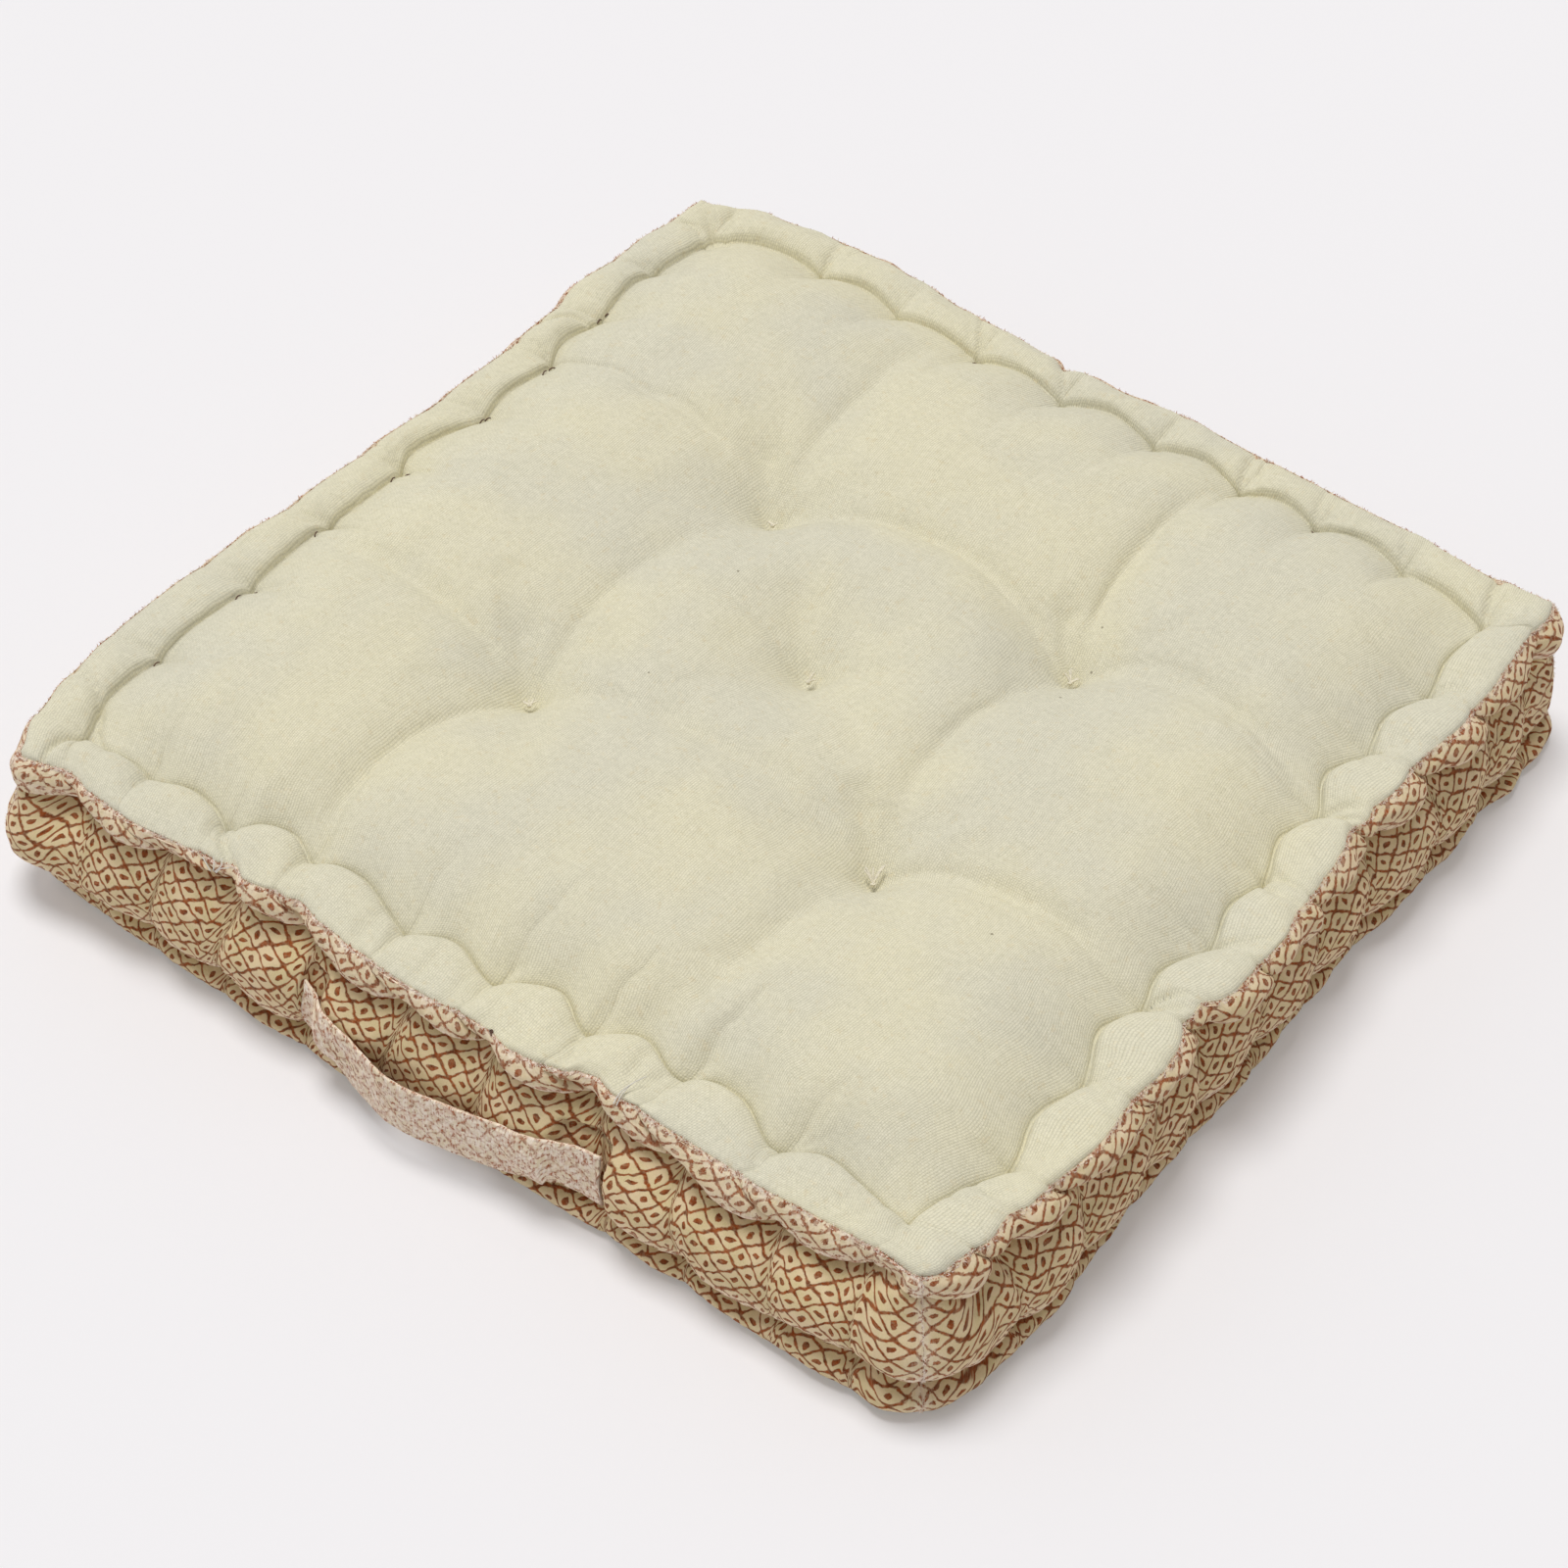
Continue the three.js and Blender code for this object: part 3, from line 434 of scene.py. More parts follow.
# How much the velvet crowds at a stitch, over which share of a stretch, how much closer its print
# stands down the wall, and where the print starts on each next side and on the strap
GATHER = 1.1
GATHER_REACH = 7 / 55
PRINT_STRETCH = 1.12
PRINT_SHIFT = 617
STRAP_PRINT = 2700
CORNER_GAP = 0.04  # of a step, left free at each end of a strip
CUT_EDGE_ANGLE = 62  # degrees

# The canvas's threads against their mean pitch
WARP_SHARE = 1.15
WEFT_SHARE = 0.87

# Pile along each side's top seam, tufts to a millimetre, and down each corner seam
SEAM_PILE = 2.6
CORNER_PILE = 240
PILE_BATCH = 150  # tufts made in one bmesh, which slows as it grows
RUST_TONE = 0.7  # from this tone up a tuft is rust-coloured

# Stage: the point the camera aims at, in metres from the middle of the floor, the way to the light
# and its width in degrees
AIM = (0.0446, -0.0639)
LIGHT_WAY = (-0.19, 0.03, 1.4)
LIGHT_WIDTH = 26


# Shape of the cloth


def lerp(a, b, share):
    return a + (b - a) * share


def smoothstep(value, low, high):
    t = np.clip((value - low) / (high - low), 0, 1)
    return t * t * (3 - 2 * t)


def bell(value, middle, width):
    """A smooth bump of height 1 round the middle."""
    return np.exp(-(((value - middle) / width) ** 2))


def eased(places, values, at):
    """A table read at a place, eased from row to row."""
    places, values = np.asarray(places, float), np.asarray(values, float)
    i = np.clip(np.searchsorted(places, at), 1, len(places) - 1)
    return lerp(values[i - 1], values[i], smoothstep(at, places[i - 1], places[i]))


def curved(places, values, at):
    """A table read at a place, on a smooth curve through its rows."""
    places, values = np.asarray(places, float), np.asarray(values, float)
    slopes = np.gradient(values, places)
    i = np.clip(np.searchsorted(places, at, side="right"), 1, len(places) - 1)
    gap = places[i] - places[i - 1]
    t = np.clip((at - places[i - 1]) / gap, 0, 1)
    return (
        (2 * t**3 - 3 * t**2 + 1) * values[i - 1]
        + (t**3 - 2 * t**2 + t) * gap * slopes[i - 1]
        + (3 * t**2 - 2 * t**3) * values[i]
        + (t**3 - t**2) * gap * slopes[i]
    )


def section(row):
    """The border's section at rows between the table's, smooth but for its grooves."""
    row = np.asarray(row, float)
    out = np.zeros(row.shape + (BORDER.shape[1],))
    edges = (0, *GROOVES, BASE_ROW)
    for low, high in zip(edges, edges[1:]):
        inside = (row >= low) & (row <= high)
        at = np.clip(row, low, high)
        for column in range(BORDER.shape[1]):
            values = curved(np.arange(low, high + 1), BORDER[low : high + 1, column], at)
            out[..., column] = np.where(inside, values, out[..., column])
    return out


def unevenness(x, y, size, seed):
    """A smooth uneven field of about -1 to 1, whose lumps are of the size given."""
    dice = np.random.RandomState(seed)
    total = 0
    for _ in range(7):
        turn = dice.uniform(0, 2 * math.pi)
        wave = size * dice.uniform(0.7, 1.6)
        phase = dice.uniform(0, 2 * math.pi)
        total = total + np.sin((x * math.cos(turn) + y * math.sin(turn)) * 2 * math.pi / wave + phase)
    return total / 4


def fullness(step):
    """How full the cloth stands at a step: 0 at a stitch, 1 midway and at a corner."""
    from_corner = np.minimum(step, LAST - step)
    f = step % 1
    end = (1 - np.clip(from_corner, 0, 1) ** 2) ** 0.55
    return np.where(from_corner < 1, end, (4 * f * (1 - f)) ** 0.55)


def place(side, column, step):
    """Where a step lies along a side, by the stitches of one column."""
    return np.interp(step, np.arange(LAST + 1), [-HALF_SIDE, *side[column], HALF_SIDE])


def pulled(side, column, step):
    """Fullness at a step, by how hard each stitch of a column is pulled."""
    pull = np.interp(step, np.arange(LAST + 1), [side[column][0], *side[column], side[column][-1]])
    return 1 - pull * (1 - fullness(step))


def stretch(side, column, step):
    """A value given for each stretch between stitches and for the corners, eased along the side."""
    index = SIDES.index(side)
    corners = CORNERS[column]
    values = [corners[index], *side[column], corners[(index + 1) % len(SIDES)]]
    return eased([0, *(np.arange(LAST) + 0.5), LAST], values, step)


def seam_lift(side, step):
    """How far the top seam stands up, carried by the roll between its stitches."""
    from_corner = np.minimum(step, LAST - step)
    return side["lift"] * (0.3 + 0.7 * fullness(step)) * smoothstep(from_corner, 0, 0.9)


def outline_point(side, along, out, radius, height):
    """A point out of the side line, which follows a round near the corners."""
    to_corner = HALF_SIDE - np.abs(along)
    near = to_corner < radius
    angle = np.where(near, (1 - to_corner / radius) * (math.pi / 4), 0)
    sign = np.sign(along)
    nx, ny = sign * np.sin(angle), -np.cos(angle)
    x = np.where(near, sign * (HALF_SIDE - radius) + nx * radius, along) + nx * out
    y = np.where(near, radius - HALF_SIDE + ny * radius, -HALF_SIDE) + ny * out
    turn = math.radians(side["turn"])
    px = x * math.cos(turn) - y * math.sin(turn) + CENTRE[0]
    py = x * math.sin(turn) + y * math.cos(turn) + CENTRE[1]
    return np.stack(np.broadcast_arrays(px, py, height), -1)


def sewn_down(side, along, down):
    """How far the wall is pulled in where the strap is sewn on."""
    if side["name"] != "front":
        return 0

    def between(value, low, high, soft):
        return smoothstep(value, low - soft, low) * (1 - smoothstep(value, high, high + soft))

    left, right = STRAP["sewn"]
    ends = between(along, STRAP["left"], STRAP["left"] + left, 5)
    ends = ends + between(along, STRAP["right"] - right, STRAP["right"], 4)
    return SEWN_PULL * ends * between(down, STRAP["upper"][0] - 1, STRAP["upper"][0] + 37, 6)


def short_creases(x, y, starts, ways, seed):
    """Depth of short creases that fan out of each start, in the directions and lengths given.

    ways is middle turn, spread, length, depth and reach, and how many leave each start.
    """
    dice = np.random.RandomState(seed)
    turn, spread, length, depth, reach, count = ways
    x, y = np.broadcast_arrays(x, y)
    total = np.zeros(x.shape)
    for sx, sy in starts:
        near = np.hypot(x - sx, y - sy) < length * 1.4
        dx, dy = x[near] - sx, y[near] - sy
        deepest = np.zeros(dx.shape)
        for k in range(count):
            angle = math.radians(turn + spread * ((k + 0.5) / count * 2 - 1) + dice.uniform(-9, 9))
            long = length * dice.uniform(0.55, 1.25)
            deep = depth * dice.uniform(0.5, 1.2)
            wide = reach * dice.uniform(0.8, 1.3)
            bend = dice.uniform(-0.012, 0.012)
            along = dx * math.cos(angle) + dy * math.sin(angle)
            beside = dy * math.cos(angle) - dx * math.sin(angle) - bend * along**2
            fade = np.clip(1 - along / long, 0, 1) ** 0.8 * smoothstep(along, -2.5, 1.5)
            deepest = np.maximum(deepest, deep * fade * crease(beside, wide * (1 + np.abs(along) / 14), 0.5))
        total[near] = np.maximum(total[near], deepest)
    return total


def long_creases(x, y, table, ends, rounding):
    """Depth of all the creases of a table, each a curve by three points with its depth and reach."""
    total = np.zeros(x.shape)
    for *points, depth, reach in table:
        xs, ys = zip(*points)
        room = 7 * reach
        near = (x > min(xs) - room) & (x < max(xs) + room) & (y > min(ys) - room) & (y < max(ys) + room)
        distance, share = nearest_on(points, x[near], y[near])
        fade = np.sin(math.pi * lerp(*ends, share)) ** 0.55
        total[near] += depth * fade * crease(distance, reach, rounding)
    return total


def creased_wall(side, row, along, down, full, at_corner, out):
    """How far the wall stands out once it has its unevenness, its creases and the folds of its grooves."""
    wall = smoothstep(row, 0.6, 2) * (1 - smoothstep(row, BASE_ROW - 1, BASE_ROW))
    seed = side["turn"]
    turned = along + 0.5 * down
    out = out + wall * (
        0.9 * unevenness(along, down, 34, seed + 1)
        + 0.5 * unevenness(turned * 1.8, down * 0.7, 14, seed + 2) * (0.5 + full * 0.5)
    )
    tops = [(p, UPPER_GROOVE - 5) for p, pull in zip(side["upper"], side["upper_pull"]) if pull > 0.5]
    feet = [(p, LOWER_GROOVE) for p, pull in zip(side["lower"], side["lower_pull"]) if pull > 0.5]
    deep = 0.7 + 0.7 * side["pinch"]
    out = out - wall * deep * (
        short_creases(along, down, tops, (90, 60, 32, 2.6, 1.9, 4), seed + 11)
        + short_creases(along, down, feet, (-90, 65, 26, 2.4, 1.9, 4), seed + 12)
        + short_creases(along, down, tops, (-90, 50, 12, 1.6, 1.5, 3), seed + 13)
    )
    out = out - 2.6 * bell(row, 9, 0.5)
    out = out - (0.4 + 3.2 * side["pinch"]) * bell(row, 4, 0.42) * (1 - at_corner)
    out = out + 1.2 * bell(row, 7.4, 1.0)
    corner = np.exp(-(HALF_SIDE - np.abs(along)) / 2.2)
    return out - 0.25 * corner * smoothstep(row, 0.3, 1)


def border_point(side, step, row, detail=True):
    """The outer face of the border at a step along a side and a row of its section.

    Rows under 0 curl under the canvas, into the seam.
    """
    lobe_out, lobe_down, stitch_out, stitch_down, radius = np.moveaxis(section(np.maximum(row, 0)), -1, 0)
    full = lerp(pulled(side, "upper_pull", step), pulled(side, "lower_pull", step), smoothstep(row, 4.4, 8.6))
    in_wall = smoothstep(row, 4, 5.6) * (1 - smoothstep(row, 7.6, 9))
    full = lerp(full, 1 - side["pinch"] * (1 - full) ** 0.8, in_wall)
    down = lerp(stitch_down, lobe_down, full)
    upper_groove, lower_groove = down - UPPER_GROOVE - 2, down - LOWER_GROOVE
    hang = np.where(upper_groove < 0, 1 + upper_groove / (UPPER_GROOVE + 2), 1 - upper_groove / 30)
    low = np.where(lower_groove < 0, 1 + lower_groove / 30, 1 - lower_groove / 19)
    upper = lerp(place(side, "groove", step), place(side, "upper", step), smoothstep(down, 0, UPPER_GROOVE))
    along = lerp(upper, place(side, "lower", step), smoothstep(down, UPPER_GROOVE, LOWER_GROOVE))
    down = down + stretch(side, "hang", step) * np.clip(hang, 0, 1)
    down = down + stretch(side, "low", step) * np.clip(low, 0, 1)
    seam = eased(side["seam_at"], side["seam"], along)
    belly = eased(side["bow_at"], side["belly"], along)
    foot = eased(side["bow_at"], side["foot"], along)
    bow = lerp(seam, belly, smoothstep(down, 6, 52))
    bow = lerp(bow, foot, smoothstep(down, 62, 88))
    fat = stretch(side, "fat", step) * bell(row, 2, 1.5) * smoothstep(row, 0, 1)
    at_corner = 1 - smoothstep(HALF_SIDE - np.abs(along), 8, 36)
    filled = CORNER_FILL * at_corner * bell(row, 4, 1.1)
    lift = seam_lift(side, step) * (1 - smoothstep(row, 0, 3))
    out = bow + lerp(stitch_out, lobe_out, full) + fat + filled + 0.6 * lift - sewn_down(side, along, down)
    height = SEAM_HEIGHT - down + lift
    if detail:
        curl = np.exp(-np.maximum(row, 0) / SEAM_CURL)
        under = np.clip(-row, 0, 1)
        height = height - 0.3 * curl - 3.0 * under
        out = creased_wall(side, row, along, down, full, at_corner, out + 0.4 * curl - 2.6 * under**1.5)
    return outline_point(side, along, out, radius, height), along, down


def nearest_on(points, x, y):
    """Distance to a curve by three points, and the share of its length there."""
    a, b, c = (np.array(p, float) for p in points)
    t = np.linspace(0, 1, 15)[:, None]
    line = (1 - t) ** 2 * a + 2 * t * (1 - t) * b + t**2 * c
    best, share_there = np.full(x.shape, np.inf), np.zeros(x.shape)
    for i in range(len(line) - 1):
        run = line[i + 1] - line[i]
        share = np.clip(((x - line[i][0]) * run[0] + (y - line[i][1]) * run[1]) / (run @ run), 0, 1)
        distance = np.hypot(x - line[i][0] - run[0] * share, y - line[i][1] - run[1] * share)
        closer = distance < best
        best = np.where(closer, distance, best)
        share_there = np.where(closer, (i + share) / (len(line) - 1), share_there)
    return best, share_there


def crease(distance, reach, rounding=CREASE_ROUND):
    """Depth of a crease at a distance from its line, as a share of its deepest."""
    return np.exp(-(np.hypot(distance, rounding) - rounding) / reach)


def puff(x, y, detail):
    """Height of the puffed face above the top seam, away from its edges."""
    dome = (1 - (x / HALF_SIDE) ** 2) * (1 - (y / HALF_SIDE) ** 2)
    valleys = np.zeros(np.shape(x))
    for *points, depth, reach in VALLEYS:
        valleys = np.maximum(valleys, depth * crease(nearest_on(points, x, y)[0], reach))
    height = CROWN + DOME * dome - valleys
    for _, tx, ty, sink, _ in TUFTS:
        height = height - sink * crease(np.hypot(x - tx, y - ty), TUFT_REACH)
    if not detail:
        return height
    height = height - long_creases(x, y, CREASES, (0.08, 1), 0.6)
    for index, (_, tx, ty, _, _) in enumerate(TUFTS):
        dx, dy = x - tx, y - ty
        away, angle = np.hypot(dx, dy), np.arctan2(dy, dx)
        dice = np.random.RandomState(40 + index)
        pleats = sum(
            dice.uniform(0.4, 1) * np.cos(n * angle + dice.uniform(0, 6.3)) for n in (4, 7, 9, 13)
        )
        height = height + 0.55 * pleats * smoothstep(away, 2, 12) * np.exp(-away / 20)
    height = height + 0.5 * unevenness(x, y, 75, 5) + 0.22 * unevenness(x, y, 26, 6)
    return height


def square_place(across, up):
    """A place on the face as if its seams were straight."""
    front, right, back, left = SIDES
    x0, x1 = place(front, "groove", across), -place(back, "groove", LAST - across)
    y0, y1 = -place(left, "groove", LAST - up), place(right, "groove", up)
    u = (x0 + x1) / (4 * HALF_SIDE) + 0.5
    v = (y0 + y1) / (4 * HALF_SIDE) + 0.5
    return u, v, lerp(x0, x1, v), lerp(y0, y1, u)


def face_place(across, up):
    """The same place between the four bowed seams."""
    front, right, back, left = SIDES
    u, v, _, _ = square_place(across, up)
    u, v = u[..., None], v[..., None]

    def seam(side, step):
        step = np.asarray(step, float)
        return border_point(side, step, np.zeros(step.shape), False)[0]

    front_to_back = lerp(seam(front, across), seam(back, LAST - across), v)
    left_to_right = lerp(seam(left, LAST - up), seam(right, up), u)
    front_corners = lerp(seam(front, 0.0), seam(front, float(LAST)), u)
    back_corners = lerp(seam(back, float(LAST)), seam(back, 0.0), u)
    return front_to_back + left_to_right - lerp(front_corners, back_corners, v)


def stitch_creases(across, up):
    """Depth of the short creases that each stitch of the groove draws into the roll and the crown."""
    total = 0
    _, _, sx, sy = square_place(across, up)
    # each side's face seen with the side at the bottom: along it, and inwards from its groove
    views = (
        (SIDES[0], sx, sy + HALF_SIDE),
        (SIDES[1], sy, HALF_SIDE - sx),
        (SIDES[2], -sx, HALF_SIDE - sy),
        (SIDES[3], -sy, sx + HALF_SIDE),
    )
    for side, along, inwards in views:
        stitches = [(p, ROLL_WIDTH) for p in side["groove"][1:-1]]
        seed = 300 + side["turn"]
        total = total + short_creases(along, inwards, stitches, (90, 60, 24, 1.5, 1.5, 4), seed)
        total = total + short_creases(along, inwards, stitches, (-76, 34, 27, 1.7, 1.6, 3), seed + 1)
        extra = [(p, 4.0) for p in np.random.RandomState(seed + 2).uniform(-262, 262, 9)]
        total = total + short_creases(along, inwards, extra, (90, 20, 20, 0.8, 1.3, 1), seed + 3)
    return total


def scalloped(across, up, points):
    """The face with the roll's groove drawn to its own place inside the true square."""
    front, right, back, left = SIDES
    moved = points.copy()
    x, y = points[..., 0] - CENTRE[0], points[..., 1] - CENTRE[1]
    one, last = np.ones(across.shape), np.full(across.shape, LAST - 1.0)

    def groove(a, b):
        at = face_place(a, b)
        return at[..., 0] - CENTRE[0], at[..., 1] - CENTRE[1]

    ends = (
        (front, up, across, groove(across, one)[1], x, 1, 1),
        (back, LAST - up, LAST - across, groove(across, last)[1], -x, 1, -1),
        (left, across, LAST - up, groove(one, up)[0], -y, 0, 1),
        (right, LAST - across, up, groove(last, up)[0], y, 0, -1),
    )
    for side, inwards, step, now, along, axis, sign in ends:
        wanted = curved(side["roll_at"], side["roll_in"], along)
        corner = smoothstep(np.minimum(step, LAST - step), 0, 0.8)
        shift = (wanted - (HALF_SIDE + sign * now)) * corner
        spread = np.where(inwards < 1, smoothstep(inwards, 0, 1), 1 - smoothstep(inwards, 1, 2.4))
        moved[..., axis] += sign * shift * spread
    return moved


def face_height(across, up, x, y, detail):
    """Height over the top seam at a step across and up, at x and y from the middle."""
    a = np.minimum(across, LAST - across)
    b = np.minimum(up, LAST - up)
    full = fullness(np.where(a < b, up, across))
    on_roll = np.minimum(np.minimum(a, b), 1)
    roll = lerp(curved(ROLL_AT, ROLL_STITCH, on_roll), curved(ROLL_AT, ROLL_LOBE, on_roll), full)
    near = [up, LAST - across, LAST - up, across]
    lift = np.select(
        [np.minimum(a, b) == each for each in near],
        [seam_lift(side, step) for side, step in zip(SIDES, (across, up, LAST - across, LAST - up))],
    )
    roll = roll + lift * (1 - smoothstep(on_roll, 0, 0.7))
    _, _, sx, sy = square_place(across, up)

    def climb(distance, beside):
        e = np.maximum(HALF_SIDE - ROLL_WIDTH - distance, 0)
        t = np.minimum(e / CROWN_EDGE, 1)
        rounded = 0.2 * np.sqrt(1 - (1 - t) ** 2) + 0.8 * (1.5 * t - 0.5 * t**3)
        return rounded * (1 - STITCH_PULL * (1 - beside) * np.exp(-e / STITCH_REACH))

    rise = climb(np.abs(sx), fullness(up) ** 1.4) * climb(np.abs(sy), fullness(across) ** 1.4)
    height = np.where(on_roll < 1, roll, lerp(roll, puff(x, y, detail), rise))
    if detail:
        seam = on_roll * ROLL_WIDTH
        height = height - 0.5 * np.exp(-seam / 0.8)
        beside = np.minimum(a, b)
        to_groove = np.where(beside < 1, (1 - beside) * ROLL_WIDTH, (beside - 1) * STITCH_SPACING)
        near_side = smoothstep(x - y, -60, 60)
        height = height - GROOVE_SLIT * lerp(0.1, 1, near_side) * np.exp(-to_groove / 0.9)
        along = np.where(a < b, y, x)
        small = unevenness(along, seam * 0.25, 13, 8) * 0.35 + unevenness(along, seam, 30, 9) * 0.4
        height = height + small * (on_roll < 1) * np.sin(math.pi * on_roll)
        height = height - stitch_creases(across, up)
        height = height - long_creases(x, y, ROLL_CREASES, (0.2, 0.93), 0.35)
    return height


def face_points(steps, detail):
    """A grid of the canvas face's outside, its steps across and up, and its x and y from the middle."""
    across, up = np.meshgrid(steps, steps)
    face = scalloped(across, up, face_place(across, up))
    x, y = face[..., 0] - CENTRE[0], face[..., 1] - CENTRE[1]
    face[..., 2] = SEAM_HEIGHT + face_height(across, up, x, y, detail)
    return face, across, up, x, y


@cache
def face_grid():
    """Every point of the canvas face's outside, with its steps across and up."""
    steps = step_samples()
    top, across, up, _, _ = face_points(steps, True)
    return top + face_puckers(steps), across, up


def surface_at(x, y):
    """Height of the canvas face near a place on it."""
    top = face_grid()[0]
    away = np.hypot(top[..., 0] - CENTRE[0] - x, top[..., 1] - CENTRE[1] - y)
    return float(top[..., 2].flat[np.argmin(away)])


def resampled(grid, places, at):
    """The rows of a grid read at places between them, on smooth curves."""
    flat = grid.reshape(len(grid), -1)
    return np.stack([curved(places, column, at) for column in flat.T], -1).reshape(len(at), *grid.shape[1:])


def resampled_columns(grid, places, at):
    """The columns of a grid read in the same way."""
    return resampled(grid.swapaxes(0, 1), places, at).swapaxes(0, 1)


def blown_up(points, held, excess):
    """How a coarse grid of cloth moves when it is cut a little too large, held and filled.

    held is how firmly each point is kept in place. It is a short cloth simulation with pressure from
    inside and no gravity.
    """
    bm, order = shaped_grid(points)
    trial = as_object(bm, "cloth_trial", None)
    group = trial.vertex_groups.new(name="held")
    for index, (r, c) in enumerate(order):
        if held[r, c] > 0:
            group.add([index], float(held[r, c]), "REPLACE")
    cloth = trial.modifiers.new("cloth", "CLOTH")
    rules = cloth.settings
    rules.quality = 5
    rules.mass = 0.3
    rules.tension_stiffness = rules.compression_stiffness = 15
    rules.shear_stiffness = 5
    rules.bending_stiffness = 0.5
    rules.vertex_group_mass = group.name
    rules.shrink_min = -excess
    rules.use_pressure = True
    rules.uniform_pressure_force = PRESSURE
    rules.effector_weights.gravity = 0
    cloth.collision_settings.use_collision = False
    cloth.point_cache.frame_start, cloth.point_cache.frame_end = 1, SETTLING_FRAMES
    scene = bpy.context.scene
    for now in range(1, SETTLING_FRAMES + 1):
        scene.frame_set(now)
    result = trial.evaluated_get(bpy.context.evaluated_depsgraph_get())
    places = np.empty(3 * len(order), np.float32)
    result.to_mesh().vertices.foreach_get("co", places)
    result.to_mesh_clear()
    moved = np.zeros(points.shape)
    for place_now, (r, c) in zip(places.reshape(-1, 3) / MM, order):
        moved[r, c] = place_now - points[r, c]
    scene.frame_set(1)
    bpy.data.objects.remove(trial)
    return moved


def puckers(moved, passes, broad_share, cap):
    """A movement with less of its broad swelling, smoothed a little and capped softly."""

    def smoothed(grid, times):
        grid = grid.copy()
        for _ in range(times):
            grid[1:-1] = (grid[:-2] + 2 * grid[1:-1] + grid[2:]) / 4
            grid[:, 1:-1] = (grid[:, :-2] + 2 * grid[:, 1:-1] + grid[:, 2:]) / 4
        return grid

    kept = smoothed(moved, 1) - (1 - broad_share) * smoothed(moved, passes)
    size = np.linalg.norm(kept, axis=-1, keepdims=True)
    return kept * cap / (cap + size)


# What the simulation gave, by the name of its piece
settled = {}


def face_puckers(steps):
    """The simulated puckers of the canvas face at the given steps across and up."""
    coarse = step_samples(TRIAL_STEPS)
    if "face" not in settled:
        face, _, _, x, y = face_points(coarse, False)
        held = np.zeros(x.shape)
        n = TRIAL_STEPS
        for line in (n, -n - 1):
            held[line] = held[:, line] = 0.35
            held[line, ::n] = held[::n, line] = 1
        for line in (0, -1):
            held[line] = held[:, line] = 1
        for _, tx, ty, _, _ in TUFTS:
            held[np.hypot(x - tx, y - ty) < 6] = 1
        excess, *rules = FACE_CLOTH
        settled["face"] = puckers(blown_up(face, held, excess), *rules)
    return resampled_columns(resampled(settled["face"], coarse, steps), coarse, steps)


def border_puckers(side, steps, rows):
    """The simulated puckers of one strip of the border at the given steps and rows."""
    coarse, coarse_rows = step_samples(TRIAL_STEPS), np.linspace(0, BASE_ROW, TRIAL_ROWS)
    if side["name"] not in settled:
        strip = border_point(side, coarse[None, :], coarse_rows[:, None], False)[0]
        held = np.zeros(strip.shape[:2])
        for groove, pull in zip(GROOVES, ("upper_pull", "lower_pull")):
            row = np.argmin(np.abs(coarse_rows - groove))
            held[row] = 0.3
            held[row, TRIAL_STEPS:-1:TRIAL_STEPS] = np.minimum(side[pull], 1)
        for line in (0, -1):
            held[line] = held[:, line] = 1
        excess, *rules = BORDER_CLOTH
        settled[side["name"]] = puckers(blown_up(strip[::-1], held[::-1], excess)[::-1], *rules)
    grid = resampled(settled[side["name"]], coarse_rows, np.clip(rows, 0, BASE_ROW))
    grid = grid * smoothstep(BASE_ROW - rows, 0.5, 2.5)[:, None, None]
    return resampled_columns(grid, coarse, steps)


def step_samples(count=STEPS_PER_STITCH):
    """Steps along a side, closer together beside the stitches."""
    t = np.linspace(0, 1, count + 1)[:-1]
    spaced = lerp(t, 0.5 - 0.5 * np.cos(math.pi * t), 0.55)
    return np.append((np.arange(LAST)[:, None] + spaced).ravel(), float(LAST))


# Meshes


def shaped_grid(points, uv=None):
    """A bmesh of a grid whose vertices stand at points[row, column], and each vertex's row and column."""
    rows, columns = points.shape[:2]
    bm = bmesh.new()
    bmesh.ops.create_grid(bm, x_segments=columns - 1, y_segments=rows - 1, size=1)
    bm.verts.ensure_lookup_table()
    order = [
        (round((v.co.y + 1) / 2 * (rows - 1)), round((v.co.x + 1) / 2 * (columns - 1))) for v in bm.verts
    ]
    for vert, (r, c) in zip(bm.verts, order):
        vert.co = points[r, c] * MM
    if uv is not None:
        layer = bm.loops.layers.uv.new("Cloth")
        for face in bm.faces:
            for loop in face.loops:
                r, c = order[loop.vert.index]
                loop[layer].uv = uv[r, c]
    return bm, order


def as_object(bm, name, material, smooth=True):
    """The object of a finished bmesh, which it frees."""
    mesh = bpy.data.meshes.new(name)
    bm.to_mesh(mesh)
    bm.free()
    mesh.materials.append(material)
    mesh.polygons.foreach_set("use_smooth", np.full(len(mesh.polygons), smooth))
    piece = bpy.data.objects.new(name, mesh)
    bpy.context.scene.collection.objects.link(piece)
    return piece


def ring_normals(points):
    """Outward normals of a ring of columns whose rows run down."""
    down = np.gradient(points, axis=0)
    along = np.roll(points, -1, 1) - np.roll(points, 1, 1)
    normal = np.cross(down, along)
    return normal / np.maximum(np.linalg.norm(normal, axis=-1, keepdims=True), 1e-9)


@cache
def border_ring(count):
    """The outer face of all four sides as one ring."""
    steps = step_samples(count)
    rows = np.unique(np.concatenate([np.linspace(a, b, n + 1) for a, b, n in BORDER_ROWS]))
    sides = []
    for side in SIDES:
        points, along, down = border_point(side, steps[None, :], rows[:, None])
        sides.append((points + border_puckers(side, steps, rows), along, down))
    return steps, rows, sides


